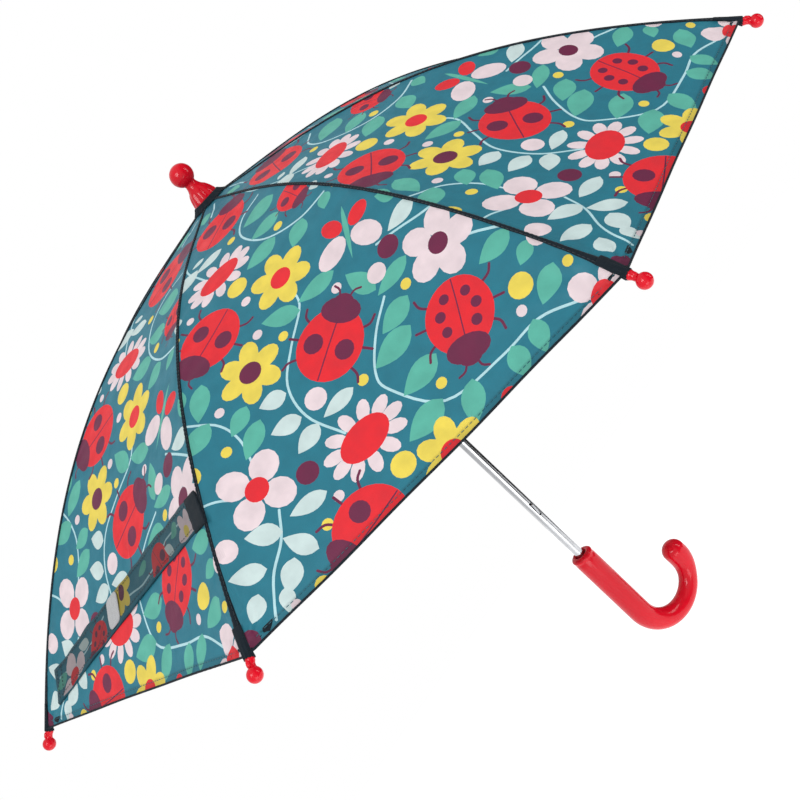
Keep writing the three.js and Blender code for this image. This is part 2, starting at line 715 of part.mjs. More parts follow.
// ---------------------------------------------------------------- assembly
const group = new THREE.Group();

function place(name, geometry, look, turn = 0) {
  const mesh = new THREE.Mesh(geometry, paint(...look));
  mesh.name = name;
  mesh.rotation.z = turn;
  mesh.position.z = GRIP_TO_APEX;
  group.add(mesh);
}

place("shaft", shaft(), STEEL);
place("handle", handle(), RED);
place("ferrule", ferrule(), RED);
place("rosette", rosette(), DARK);
place("crown", crown(), BLACK);
place("crown_ring", solid(ring(CROWN_PIVOT_RADIUS, RING_WIRE_RADIUS, CROWN_PIVOT_Z)), STEEL);
place("stop_pin", stopPin(), STEEL);
place("runner", runner(), BLACK);
place("runner_ring", solid(ring(RUNNER_PIVOT_RADIUS, RING_WIRE_RADIUS, RUNNER_PIVOT_Z)), STEEL);
place("top_catch", catchWedge(TOP_CATCH_Z), STEEL);
place("bottom_catch", catchWedge(BOTTOM_CATCH_Z), STEEL);

const ribGeometry = rib();
const tipGeometry = tip();
const stretcherGeometry = stretcher();
const rivetGeometry = rivet();
const goreGeometry = gore();
for (let i = 1; i <= RIBS; i++) {
  // rib 1 points along -Y, and the numbers go round towards +X
  const turn = -Math.PI / 2 + 2 * HALF_SECTOR * (i - 1);
  place(`rib_${i}`, ribGeometry, STEEL, turn);
  place(`tip_${i}`, tipGeometry, RED, turn);
  place(`stretcher_${i}`, stretcherGeometry, STEEL, turn);
  place(`rivet_${i}`, rivetGeometry, STEEL, turn);
  place(`canopy_${i}`, goreGeometry, CLOTH, turn);
}
const lastRib = -Math.PI / 2 + 2 * HALF_SECTOR * (RIBS - 1);
place("strap", strap(), CLOTH, lastRib);
place("strap_patch", strapPatch(), GREY, lastRib);

export default group;
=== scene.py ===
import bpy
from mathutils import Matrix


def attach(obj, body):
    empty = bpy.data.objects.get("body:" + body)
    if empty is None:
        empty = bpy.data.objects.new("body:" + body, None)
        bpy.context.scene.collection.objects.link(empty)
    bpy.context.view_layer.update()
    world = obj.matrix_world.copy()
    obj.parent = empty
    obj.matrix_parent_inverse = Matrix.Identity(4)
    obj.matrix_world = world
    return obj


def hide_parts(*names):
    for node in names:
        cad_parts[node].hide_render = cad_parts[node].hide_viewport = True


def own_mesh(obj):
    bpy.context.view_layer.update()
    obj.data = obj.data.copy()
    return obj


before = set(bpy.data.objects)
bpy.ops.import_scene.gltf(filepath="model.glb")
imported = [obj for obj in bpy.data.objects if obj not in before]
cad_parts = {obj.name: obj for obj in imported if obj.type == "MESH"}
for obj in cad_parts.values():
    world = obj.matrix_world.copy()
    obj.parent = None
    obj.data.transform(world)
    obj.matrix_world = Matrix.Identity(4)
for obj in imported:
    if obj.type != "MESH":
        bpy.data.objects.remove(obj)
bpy.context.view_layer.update()  # the imported meshes, now in world space

import math

import bpy
import numpy as np
from mathutils import Matrix, Vector
from mathutils.geometry import delaunay_2d_cdt

bl_info = {
    "name": "Small umbrella looks",
    "version": (1, 0, 0),
    "blender": (4, 5, 0),
    "location": "View3D > Sidebar > Umbrella",
    "description": "Printed canopy, bound seams, plastic and steel finishes round the packed umbrella",
    "category": "Object",
}

# ------------------------------------------------------------------ sizes shared with the frame
# Millimetres, from the top of the canopy, with X along a rib, as the frame's own source has them.
MM = 0.001
RIBS = 8
SECTOR = 2 * math.pi / RIBS
HALF = SECTOR / 2
TIP_RADIUS = 360.0
APEX_HEIGHT = 452.0
CROWN_CURVE = (-0.1935, 0.2758, -0.8969, 0.3617)
SAG = 9.4
SAG_FULL_FROM = 0.8
CLOTH_START = 9.0
HEM_ON_RIB = 0.983
HEM_MIDWAY = 0.964
RIB_UNDER = 2.3
CROWN_PIVOT = (8.5, -7.0)
STRAP_START = (0.79, 0.03)
STRAP_END = (0.93, 0.93)
STRAP_BOW = 0.135
STRAP_WIDTH = 22.0
STRAP_LENGTH = 250.0
PATCH_AT = 0.63
PATCH_HALF = (8.5, 10.2)
TIP_BALL, TIP_NECK_RADIUS, TIP_COLLAR, TIP_NECK = 4.5, 2.1, 2.7, 9.4
KNOB, KNOB_HEIGHT, FERRULE_NECK, FERRULE_SKIRT, FLUTES = 9.0, 25.4, 4.6, 10.8, 8
SHAFT_CLEAR = 4.35  # bore round the shaft
HANDLE_TOP, GRIP, GRIP_STRAIGHT = -413.0, 10.0, 77.0
HOOK, HOOK_SWEEP, HOOK_THIN, HOOK_END, HOOK_TAIL = 30.5, math.radians(182), 8.1, 10.2, 4.0
ROOM_SIZE = 4.4
STRAP_RIB = 8


def rib_turn(i):
    """The direction of rib i, as a turn about Z from +X."""
    return -math.pi / 2 + SECTOR * (i - 1)


def linear(*srgb):
    """A colour given as 0 to 255 per channel, as Blender wants it."""
    return tuple(
        c / 255 / 12.92 if c / 255 <= 0.04045 else ((c / 255 + 0.055) / 1.055) ** 2.4 for c in srgb
    )


# ------------------------------------------------------------------ the shape of the cloth
def cloth_height(r):
    q = np.asarray(r, float) / TIP_RADIUS
    return TIP_RADIUS * sum(c * q ** (i + 1) for i, c in enumerate(CROWN_CURVE))


def cloth_slope(r):
    q = np.asarray(r, float) / TIP_RADIUS
    return sum((i + 1) * c * q**i for i, c in enumerate(CROWN_CURVE))


def cloth_dip(rc, w):
    full = np.minimum(1, (rc / TIP_RADIUS / SAG_FULL_FROM) ** 2)
    return SAG * full * (1 - (1 - 2 * w) ** 2)


def cloth_point(rc, w, lift=0.0):
    """A point over the cloth between a rib on +X, w = 0, and the next one, w = 1."""
    rc, w = np.broadcast_arrays(np.asarray(rc, float), np.asarray(w, float))
    x = rc * (1 - w + w * math.cos(SECTOR))
    y = rc * w * math.sin(SECTOR)
    z = cloth_height(rc) - cloth_dip(rc, w) + lift * np.hypot(1, cloth_slope(rc))
    return np.stack([x, y, z], -1)


def beside_rib(rc, y, lift=0.0):
    """A point over the cloth y to one side of the rib on +X."""
    rc, y = np.broadcast_arrays(np.asarray(rc, float), np.asarray(y, float))
    p = cloth_point(rc, np.abs(y) / (rc * math.sin(SECTOR)), lift)
    p[..., 1] *= np.where(y < 0, -1, 1)
    return p


def rib_line(r):
    """Height of a rib's middle line."""
    under = RIB_UNDER * np.hypot(1, cloth_slope(r))
    extra = cloth_height(CROWN_PIVOT[0]) - RIB_UNDER - CROWN_PIVOT[1]
    t = np.clip((r - CROWN_PIVOT[0]) / 40, 0, 1)
    return cloth_height(r) - under - extra * (1 - t * t * (3 - 2 * t))


def hem_radius(w):
    """Radius of the hem where the chord meets the ribs, w of the way to the next rib."""
    w = np.minimum(np.abs(w), 1 - np.abs(w))
    return TIP_RADIUS * (HEM_ON_RIB + (HEM_MIDWAY - HEM_ON_RIB) * (1 - (1 - 2 * w) ** 2))


# A panel laid flat: a is across it, 0 on its middle line and positive away from its own rib,
# and v is down from the top of the canopy along the cloth.
FLAT_STEP = 0.25
FLAT_RADII = np.arange(0, 390, FLAT_STEP)
FLAT_DOWN = np.concatenate(
    [[0], np.cumsum(np.hypot(math.cos(HALF), cloth_slope(FLAT_RADII[:-1] + FLAT_STEP / 2)) * FLAT_STEP)]
)


def flat_down(rc):
    return np.interp(rc, FLAT_RADII, FLAT_DOWN)


def wrinkle(a, v):
    """Height of the cloth's small puckers and slack folds, as a share of their depth."""
    rc = np.interp(v, FLAT_DOWN, FLAT_RADII)
    off_seam = np.maximum(0, math.sin(HALF) * rc - np.abs(a))
    side = np.sign(a)
    grow = np.clip(off_seam / 6, 0, 1) ** 2
    pucker = 0.42 * np.exp(-off_seam / 16) * np.sin(v / 3.7 + 2.2 * np.sin(v / 31) + side * off_seam / 9)
    corner = np.hypot(off_seam, flat_down(TIP_RADIUS * HEM_ON_RIB) - v)
    angle = np.arctan2(off_seam, flat_down(TIP_RADIUS * HEM_ON_RIB) - v)
    pull = 0.8 * np.exp(-corner / 70) * np.sin(11 * angle + side)
    low = np.clip((v - 220) / 140, 0, 1)
    slack = 0.55 * low * np.sin(a / 15 + 0.9 * np.sin(v / 40)) * np.cos(v / 60)
    soft = 0.35 * np.sin(a / 23 + v / 38) * np.sin(v / 29 - a / 50)
    return grow * (pucker + pull + slack + soft)


def on_panel(a, v, depth):
    """Places and normals on a panel that has its middle line on +X and its own rib on the +Y side."""
    step = 0.5

    def taut(a, v):
        rc = np.interp(v, FLAT_DOWN, FLAT_RADII)
        w = 0.5 + a / (2 * math.sin(HALF) * rc)
        return np.stack([rc * math.cos(HALF), -a, cloth_height(rc) - cloth_dip(rc, w)], -1)

    def facing(surface, a, v):
        across = surface(a + step, v) - surface(a - step, v)
        down = surface(a, v + step) - surface(a, v - step)
        n = np.cross(across, down)
        return n / np.linalg.norm(n, axis=-1, keepdims=True)

    def worn(a, v):
        return taut(a, v) + facing(taut, a, v) * (wrinkle(a, v) * depth)[..., None]

    return worn(a, v), facing(worn, a, v)


# ------------------------------------------------------------------ meshes
def turned_about_z(points, turn):
    c, s = math.cos(turn), math.sin(turn)
    return np.asarray(points, float) @ np.array([[c, s, 0], [-s, c, 0], [0, 0, 1]])


def new_piece(name, points, faces, materials, turn=0.0, uvs=None, looks=None):
    """A mesh object from points in millimetres below the top of the canopy, turned about Z."""
    places = turned_about_z(np.asarray(points, float).reshape(-1, 3), turn)
    places = (places + (0, 0, APEX_HEIGHT)) * MM
    mesh = bpy.data.meshes.new(name)
    mesh.from_pydata(places.tolist(), [], [tuple(map(int, f)) for f in faces])
    mesh.polygons.foreach_set("use_smooth", np.full(len(mesh.polygons), True))
    for material in materials if isinstance(materials, list) else [materials]:
        mesh.materials.append(material)
    if looks is not None:
        mesh.polygons.foreach_set("material_index", np.asarray(looks, np.int32))
    if uvs is not None:
        corners = np.zeros(len(mesh.loops), np.int32)
        mesh.loops.foreach_get("vertex_index", corners)
        layer = mesh.uv_layers.new(name="Flat")
        layer.data.foreach_set("uv", np.asarray(uvs, np.float32)[corners].ravel())
    mesh.update()
    o = bpy.data.objects.new(name, mesh)
    bpy.context.scene.collection.objects.link(o)
    return o


def skin(loops, caps=True):
    """(points, faces) over a row of closed loops with as many points each."""
    loops = np.asarray(loops, float)
    n, m = loops.shape[:2]
    faces = []
    for i in range(n - 1):
        for j in range(m):
            k = (j + 1) % m
            faces.append((i * m + j, i * m + k, (i + 1) * m + k, (i + 1) * m + j))
    if caps:
        faces.append(tuple(range(m - 1, -1, -1)))
        faces.append(tuple((n - 1) * m + j for j in range(m)))
    return loops.reshape(-1, 3), faces


def joined(parts):
    """One (points, faces) from several."""
    points, faces, first = [], [], 0
    for p, f in parts:
        p = np.asarray(p, float).reshape(-1, 3)
        points.append(p)
        faces += [tuple(first + x for x in face) for face in f]
        first += len(p)
    return np.concatenate(points), faces


def lathe(profile, segments, shape=None):
    """(points, faces) of a [radius, height] profile about Z, poles closed by small caps."""
    angles = np.linspace(0, 2 * math.pi, segments, endpoint=False)
    loops = []
    for r, z in profile:
        k = np.ones(segments) if shape is None else shape(z, angles)
        loops.append(np.stack([r * k * np.cos(angles), r * k * np.sin(angles), np.full(segments, z)], -1))
    return skin(loops)


def rounded_tube(path, radius, sides, squash=1.0, up=(0, 0, 1)):
    """(points, faces) of a round bar along a path; radius is one number or one per point."""
    path = np.asarray(path, float)
    radius = np.broadcast_to(np.asarray(radius, float), len(path))
    along = np.gradient(path, axis=0)
    along /= np.linalg.norm(along, axis=1, keepdims=True)
    side = np.cross(along, np.asarray(up, float))
    side /= np.linalg.norm(side, axis=1, keepdims=True)
    top = np.cross(side, along)
    t = np.linspace(0, 2 * math.pi, sides, endpoint=False)
    loops = (
        path[:, None] + side[:, None] * (np.cos(t)[None, :, None] * radius[:, None, None])
        + top[:, None] * (np.sin(t)[None, :, None] * radius[:, None, None] * squash)
    )
    return skin(loops)


def stitch(centre, along, normal, length, width=0.5, height=0.28):
    """(points, faces) of one stitch lying on cloth: a thread that dives in at both ends."""
    along, normal = (np.asarray(v, float) / np.linalg.norm(v) for v in (along, normal))
    side = np.cross(normal, along)
    c = np.asarray(centre, float)
    loops = []
    for t, k in ((-0.5, 0.3), (-0.3, 0.9), (0, 1.0), (0.3, 0.9), (0.5, 0.3)):
        mid = c + along * t * length
        loops.append(
            [
                mid - side * width / 2 * k,
                mid + normal * height * k,
                mid + side * width / 2 * k,
                mid - normal * height * 0.5,
            ]
        )
    return skin(loops)


def stitches(line, normals, pitch, length):
    """Stitches at an even pitch along a line of points."""
    line, normals = np.asarray(line, float), np.asarray(normals, float)
    gone = np.concatenate([[0], np.cumsum(np.linalg.norm(np.diff(line, axis=0), axis=1))])
    parts = []
    for s in np.arange(pitch / 2, gone[-1], pitch):
        at = [np.interp(s, gone, line[:, k]) for k in range(3)]
        ahead = [np.interp(min(s + 0.5, gone[-1]), gone, line[:, k]) for k in range(3)]
        behind = [np.interp(max(s - 0.5, 0), gone, line[:, k]) for k in range(3)]
        n = [np.interp(s, gone, normals[:, k]) for k in range(3)]
        parts.append(stitch(at, np.subtract(ahead, behind), n, length))
    return parts


# ------------------------------------------------------------------ the print, laid out flat
GROUND, LEAF, PALE, PETAL, RED, MAROON, YELLOW, VINE = range(8)


def oval(a, v, across, down=None, turn=0.0, count=18):
    t = np.linspace(0, 2 * math.pi, count, endpoint=False)
    x, y = across * np.cos(t), (down or across) * np.sin(t)
    c, s = math.cos(math.radians(turn)), math.sin(math.radians(turn))
    return np.stack([a + x * c - y * s, v + x * s + y * c], -1)


def moved(points, a, v, turn, size=1.0):
    c, s = math.cos(math.radians(turn)), math.sin(math.radians(turn))
    p = np.asarray(points, float) * size
    return np.stack([a + p[:, 0] * c - p[:, 1] * s, v + p[:, 0] * s + p[:, 1] * c], -1)


def lens(a, v, length, width, turn):
    """A leaf with two points, fuller towards its stalk."""
    t = np.linspace(0, 1, 9)
    half = width / 2 * np.sin(math.pi * t**0.8) ** 0.9
    x = (t - 0.5) * length
    return moved(np.concatenate([np.stack([x, -half], -1), np.stack([x, half], -1)[-2:0:-1]]), a, v, turn)


def smooth_line(points, each=6):
    """A curve through every point."""
    p = np.asarray(points, float)
    p = np.concatenate([[2 * p[0] - p[1]], p, [2 * p[-1] - p[-2]]])
    out = []
    for i in range(1, len(p) - 2):
        for t in np.linspace(0, 1, each, endpoint=False):
            a, b, c, d = p[i - 1 : i + 3]
            bent = (2 * a - 5 * b + 4 * c - d) * t**2 + (3 * b - a - 3 * c + d) * t**3
            out.append(0.5 * (2 * b + (c - a) * t + bent))
    return np.array(out + [p[-2]])


def stroke(points, width, each=6):
    """A line of even width with round-ish ends."""
    line = smooth_line(points, each)
    way = np.gradient(line, axis=0)
    way /= np.linalg.norm(way, axis=1, keepdims=True)
    side = np.stack([-way[:, 1], way[:, 0]], -1) * width / 2
    tip = way[-1] * width / 3
    start = way[0] * width / 3
    return np.concatenate([[line[0] - start], line - side, [line[-1] + tip], (line + side)[::-1]])


def beetle(a, v, size, heading, spots):
    """A round spotted beetle seen from above, with six legs and two feelers."""
    shapes = []
    for sign in (-1, 1):
        for x, reach in ((0.55, 30), (0.0, 90), (-0.6, 140)):
            t = math.radians(reach)
            foot = (x * 0.9 + 0.42 * math.cos(t), sign * (0.82 + 0.42 * abs(math.sin(t))))
            knee = (x * 0.95 + 0.1 * math.cos(t), sign * (0.86 + 0.2 * abs(math.sin(t))))
            shapes.append((MAROON, stroke([(x * 0.8, sign * 0.7), knee, foot], 0.07, 4)))
        feeler = [(1.15, sign * 0.12), (1.42, sign * 0.22), (1.52, sign * 0.42)]
        shapes.append((MAROON, stroke(feeler, 0.06, 4)))
    shapes.append((MAROON, oval(1.08, 0, 0.27, 0.33, count=14)))
    shapes.append((RED, oval(0, 0, 1.0, 0.94, count=30)))
    shapes.append((MAROON, oval(0.9, 0, 0.36, 0.6, count=18)))
    shapes.append((MAROON, stroke([(-0.97, 0), (-0.2, 0.01), (0.6, 0)], 0.035, 3)))
    shapes += [(MAROON, oval(x, y, r, count=14)) for x, y, r in spots]
    return [(ink, moved(p, a, v, heading, size)) for ink, p in shapes]


TWO_SPOTS = ((-0.06, 0.47, 0.28), (-0.1, -0.46, 0.27))
SIX_SPOTS = ((0.32, 0.4, 0.15), (0.3, -0.42, 0.14), (-0.12, 0.5, 0.15), (-0.14, -0.5, 0.15)) + (
    (-0.52, 0.3, 0.14),
    (-0.55, -0.3, 0.14),
)


def blossom(a, v, reach, petals, ink, centre_ink, centre, start=0.0, fat=0.5):
    """Round petals about a middle."""
    shapes = []
    for i in range(petals):
        turn = start + 360 * i / petals
        t = math.radians(turn)
        k = reach * (0.6 + 0.02 * math.sin(5 * i))
        petal = oval(a + k * math.cos(t), v + k * math.sin(t), reach * 0.42, reach * fat * 0.62, turn, 14)
        shapes.append((ink, petal))
    return shapes + [(centre_ink, oval(a, v, centre, centre * 0.96, start, 20))]


def flat_daisy(a, v, across, down, turn=0.0):
    """A daisy seen from one side, with a wide red middle."""
    shapes = []
    for i in range(11):
        t = 2 * math.pi * i / 11 + 0.2
        x, y = across * 1.22 * math.cos(t), down * 1.36 * math.sin(t)
        aim = math.degrees(math.atan2(y, x))
        shapes.append((PETAL, moved(oval(x, y, across * 0.42, across * 0.25, aim, 12), a, v, turn)))
    return shapes + [(RED, oval(a, v, across, down, turn, 24))]


def butterfly(a, v, size, turn):
    """Four plain oval wings and a thin body."""
    shapes = []
    for side in (-1, 1):
        shapes.append((PETAL, oval(0.34, side * 0.46, 0.44, 0.3, side * 52, 16)))
        shapes.append((RED, oval(-0.3, side * 0.36, 0.32, 0.22, -side * 48, 14)))
    shapes.append((LEAF, lens(0, 0, 1.5, 0.14, 0)))
    return [(ink, moved(p, a, v, turn, size)) for ink, p in shapes]


def panel_print():
    """Every printed shape on one panel, as (ink, outline), in the order in which they are laid down."""
    shapes = []
    for line in (
        [(-31, 92), (-13, 101), (-5, 122), (-15, 149), (-39, 165), (-62, 167)],
        [(-7, 202), (-5, 221), (14, 240), (30, 259), (33, 283), (23, 309)],
        [(-43, 265), (-26, 277), (-11, 294), (-10, 309), (-27, 339), (-64, 347), (-90, 349), (-113, 362)],
        [(96, 228), (76, 246), (70, 265), (73, 286)],
        [(91, 295), (101, 288), (114, 284)],
        [(30, 134), (37, 109), (38, 96), (35, 78)],
        [(76, 317), (85, 332), (100, 346), (112, 366)],
        [(-117, 302), (-103, 288), (-92, 279)],
        [(-3, 24), (0, 36), (5, 47)],
        [(-25, 62), (-30, 78), (-41, 97), (-50, 113)],
        [(-60, 236), (-78, 243), (-98, 252)],
    ):
        shapes.append((VINE, stroke(line, 1.5)))
    for leaf in (
        (-24, 114, 29, 19, 2), (-21, 138, 25, 15, -4), (-8, 159, 27, 16, 6), (-33, 174, 21, 15, 38),
        (-58, 174, 14, 11, 60), (8, 217, 27, 14, -34), (-19, 221, 28, 13, -8), (-39, 245, 26, 13, -76),
        (-54, 260, 27, 11, 6), (-40, 279, 25, 14, 10), (-27, 292, 30, 16, 4), (-27, 317, 28, 15, 6),
        (-13, 339, 28, 16, 8), (-37, 352, 25, 14, 52), (-68, 357, 20, 13, 76), (-84, 356, 20, 12, 68),
        (-106, 341, 22, 14, 28), (-102, 302, 24, 13, -4), (76, 225, 27, 14, 58), (87, 214, 20, 12, 62),
        (90, 247, 26, 15, 22), (64, 255, 20, 12, 30), (64, 271, 25, 13, 36), (-84, 217, 16, 9, -56),
        (9, 38, 18, 11, 74), (-110, 319, 14, 10, 24), (28, 58, 13, 8, 70),
    ):
        shapes.append((LEAF, lens(*leaf)))
    for leaf in (
        (22, 113, 24, 11, 2), (43, 115, 26, 14, 26), (29, 102, 11, 5, 8), (42, 260, 18, 12, -16),
        (45, 279, 20, 12, -14), (40, 295, 20, 12, 18), (15, 291, 23, 10, 2), (-82, 236, 24, 12, 4),
        (-61, 121, 13, 11, 62), (62, 326, 24, 11, -8), (91, 323, 22, 13, -32), (78, 341, 22, 12, -58),
        (110, 336, 22, 12, -22), (92, 352, 20, 13, 46), (117, 354, 16, 11, 44), (101, 361, 14, 9, 60),
        (-62, 154, 8, 12, 70), (61, 150, 9, 8, 60),
    ):
        shapes.append((PALE, lens(*leaf)))
    for ink, dots in (
        (YELLOW, (
            (2, 115, 3.5), (-27, 151, 3.7), (17, 167, 7.8), (68, 165, 3.6), (14, 230, 3.4), (80, 266, 3.6),
            (105, 265, 7), (-56, 271, 3.5), (-96, 329, 7.4), (-32, 330, 3.4), (11, 348, 7.5), (61, 343, 3.5),
            (-3, 292, 3.6), (82, 367, 5), (-121, 342, 3.2), (-70, 170, 3.3), (-20, 63, 3.0), (12, 14, 3.2),
        )),
        (PETAL, (
            (18, 184, 3.6), (53, 158, 3.0), (25, 214, 3.5), (70, 241, 3.4), (-27, 234, 3.6), (-87, 339, 3.2),
            (47, 335, 3.4), (112, 317, 7), (-122, 318, 7), (23, 279, 7), (99, 366, 3), (-49, 250, 6.5),
        )),
        (MAROON, ((-64, 244, 7.4), (52, 311, 7), (129, 366, 6))),
        (RED, ((-52, 366, 5.5),)),
    ):
        shapes += [(ink, oval(a, v, r, r * 0.97, 20, 16 if r > 5 else 12)) for a, v, r in dots]
    shapes += blossom(-120, 369, 20, 4, PETAL, RED, 7.5, 20, 0.62)
    shapes += blossom(-12, 363, 20, 6, YELLOW, RED, 7.0, 10)
    shapes += blossom(-84, 271, 23, 5, PETAL, MAROON, 6.5, 14, 0.6)
    shapes += blossom(79, 298, 24, 4, PETAL, RED, 7.6, 40, 0.62)
    shapes += blossom(-7, 192, 22, 6, YELLOW, RED, 7.6, 22)
    shapes += blossom(42, 233, 21.5, 6, YELLOW, MAROON, 7.5, 4)
    shapes += flat_daisy(22, 142, 16.5, 9.5, 4)
    shapes += flat_daisy(17, 320, 16.5, 11, 4)
    shapes += butterfly(-54, 210, 27, 65)
    shapes += beetle(2, 78, 23.5, 225, TWO_SPOTS)
    shapes += beetle(49, 187, 22.5, 28, TWO_SPOTS)
    shapes += beetle(-3, 259, 23, 213, TWO_SPOTS)
    shapes += beetle(-64, 311, 22, 62, SIX_SPOTS)
    shapes += beetle(44, 361, 23, 12, TWO_SPOTS)
    shapes += beetle(-47, 137, 14, 100, TWO_SPOTS)
    return shapes


def strap_print(length):
    """Every printed shape on the closing strap, cut from the same cloth: x along it, y across."""
    shapes = [
        (VINE, stroke([(length * x, y) for x, y in line], 1.3))
        for line in (((-0.5, 3), (-0.3, -4), (-0.12, 5), (0.05, 2)), ((0.2, -6), (0.32, 2), (0.48, -3)))
    ]
    shapes += blossom(-length * 0.41, 6, 15, 6, PETAL, YELLOW, 4.5)
    shapes += blossom(length * 0.07, -5, 15, 6, YELLOW, MAROON, 5, 12)
    shapes += blossom(length * 0.4, 7, 17, 4, PETAL, RED, 6, 20, 0.62)
    shapes += beetle(-length * 0.2, 7, 15, 120, TWO_SPOTS)
    shapes += beetle(length * 0.24, 6, 13, 40, SIX_SPOTS)
    for x, y, turn in (
        (-0.33, -3, 20), (-0.27, 4, -30), (-0.08, -4, 15), (0.14, 4, 30), (0.33, -4, -20), (0.47, 1, 10),
    ):
        shapes.append((LEAF if turn > 0 else PALE, lens(x * length, y, 16, 8, turn)))
    return shapes


def inked(outline, shapes, grid, splits=()):
    """(flat points, triangles, ink of each triangle): outlines cut exactly into one flat sheet."""
    points, edges, faces, inks = [], [], [], []

    def add(polygon):
        area = 0.5 * np.sum(
            polygon[:, 0] * np.roll(polygon[:, 1], -1) - np.roll(polygon[:, 0], -1) * polygon[:, 1]
        )
        polygon = polygon if area > 0 else polygon[::-1]
        first = len(points)
        points.extend(polygon.tolist())
        faces.append(list(range(first, first + len(polygon))))

    add(np.asarray(outline, float))
    inks.append(GROUND)
    for ink, polygon in shapes:
        add(polygon)
        inks.append(ink)
    for line in splits:
        first = len(points)
        points.extend(np.asarray(line, float).tolist())
        edges += [(first + i, first + i + 1) for i in range(len(line) - 1)]
    points.extend(np.asarray(grid, float).tolist())
    out, _, tris, _, _, whose = delaunay_2d_cdt([Vector(p) for p in points], edges, faces, 1, 1e-4)
    flat = np.array([tuple(p) for p in out])
    kept, tones = [], []
    for tri, owners in zip(tris, whose):
        if 0 not in owners:
            continue
        top = max(owners)
        p = flat[list(tri)]
        e, f = p[1] - p[0], p[2] - p[0]
        if abs(e[0] * f[1] - e[1] * f[0]) < 1e-7:
            continue
        kept.append(tri)
        tones.append(inks[top])
    return flat, np.array(kept), np.array(tones)


# ------------------------------------------------------------------ finishes
class Finish:
    """One material, built from short calls."""

    def __init__(self, name):
        self.material = bpy.data.materials.new(name)
        self.material.use_nodes = True
        self.tree = self.material.node_tree
        self.tree.nodes.clear()

    def add(self, kind, inputs=None, **settings):
        node = self.tree.nodes.new("ShaderNode" + kind)
        for key, value in settings.items():
            setattr(node, key, value)
        for key, value in (inputs or {}).items():
            if isinstance(value, bpy.types.NodeSocket):
                self.tree.links.new(value, node.inputs[key])
            else:
                node.inputs[key].default_value = value
        return node

    def where(self):
        return self.add("TexCoord").outputs["Object"]

    def noise(self, place, scale, detail=3.0, rough=0.5, stretch=None):
        if stretch:
            place = self.add("Mapping", {"Vector": place, "Scale": stretch}).outputs["Vector"]
        inputs = {"Vector": place, "Scale": scale, "Detail": detail, "Roughness": rough}
        return self.add("TexNoise", inputs).outputs["Fac"]

    def maths(self, operation, *values):
        return self.add("Math", dict(enumerate(values)), operation=operation).outputs[0]

    def spread(self, value, low, high, start=0.3, end=0.7):
        """A value from start to end, laid out from low to high."""
        return self.add(
            "MapRange", {"Value": value, "From Min": start, "From Max": end, "To Min": low, "To Max": high}
        ).outputs["Result"]

    def mix(self, share, a, b, blend="MIX"):
        node = self.add("Mix", {0: share, 6: a, 7: b}, data_type="RGBA", blend_type=blend)
        return node.outputs[2]

    def weave(self, place, pitch):
        """Height of a plain weave with that pitch in the place's own units."""
        scale = 0.314159 / pitch
        waves = [
            self.add(
                "TexWave",
                {"Vector": place, "Scale": scale, "Distortion": 0.6, "Detail": 1.0, "Detail Scale": 0.4},
                wave_type="BANDS",
                bands_direction=way,
            ).outputs["Fac"]
            for way in "XY"
        ]
        return self.maths("MULTIPLY", *waves)

    def bump(self, height, strength, distance):
        inputs = {"Height": height, "Strength": strength, "Distance": distance}
        return self.add("Bump", inputs).outputs["Normal"]

    def surface(self, shader):
        self.add("OutputMaterial", {"Surface": shader})
        return self.material

    def principled(self, **inputs):
        named = {key.replace("_", " "): value for key, value in inputs.items()}
        return self.add("BsdfPrincipled", named).outputs["BSDF"]


def rgba(colour, tone=1.0):
    """A colour for a socket, darkened by tone."""
    return (*(c * tone for c in tuple(colour)[:3]), 1.0)


def printed_cloth():
    """Satin polyester with the print in its Ink attribute: weave, sheen and a little light let through."""
    f = Finish("printed satin cloth")
    ink = f.add("Attribute", attribute_name="Ink").outputs["Color"]
    flat = f.add("UVMap", uv_map="Flat").outputs["UV"]
    cloudy = f.spread(f.noise(flat, 0.9, 4.0), 0.0, 1.0)
    fine = f.spread(f.noise(flat, 26.0, 2.0), 0.0, 1.0)
    colour = f.mix(f.maths("MULTIPLY", cloudy, 0.16), ink, (0.0, 0.02, 0.04, 1), "MIX")
    weave = f.weave(flat, 0.06)
    colour = f.mix(f.spread(weave, 0.10, 0.0, 0.0, 1.0), colour, (0.0, 0.0, 0.0, 1))
    colour = f.mix(f.maths("MULTIPLY", fine, 0.02), colour, (1, 1, 1, 1), "SCREEN")
    creases = f.noise(flat, 0.55, 3.0, 0.55, (1.0, 0.35, 1.0))
    height = f.maths("ADD", f.maths("MULTIPLY", weave, 0.06), f.maths("MULTIPLY", creases, 1.0))
    normal = f.bump(height, 0.35, 0.0012)
    rough = f.spread(f.maths("ADD", cloudy, f.maths("MULTIPLY", weave, 0.3)), 0.40, 0.56, 0.0, 1.3)
    front = f.principled(
        Base_Color=colour, Roughness=rough, Normal=normal, Sheen_Weight=0.05, Sheen_Roughness=0.4,
        Specular_IOR_Level=0.25,
    )
    through = f.add("BsdfTranslucent", {"Color": colour, "Normal": normal}).outputs["BSDF"]
    return f.surface(f.add("MixShader", {0: 0.22, 1: front, 2: through}).outputs["Shader"])


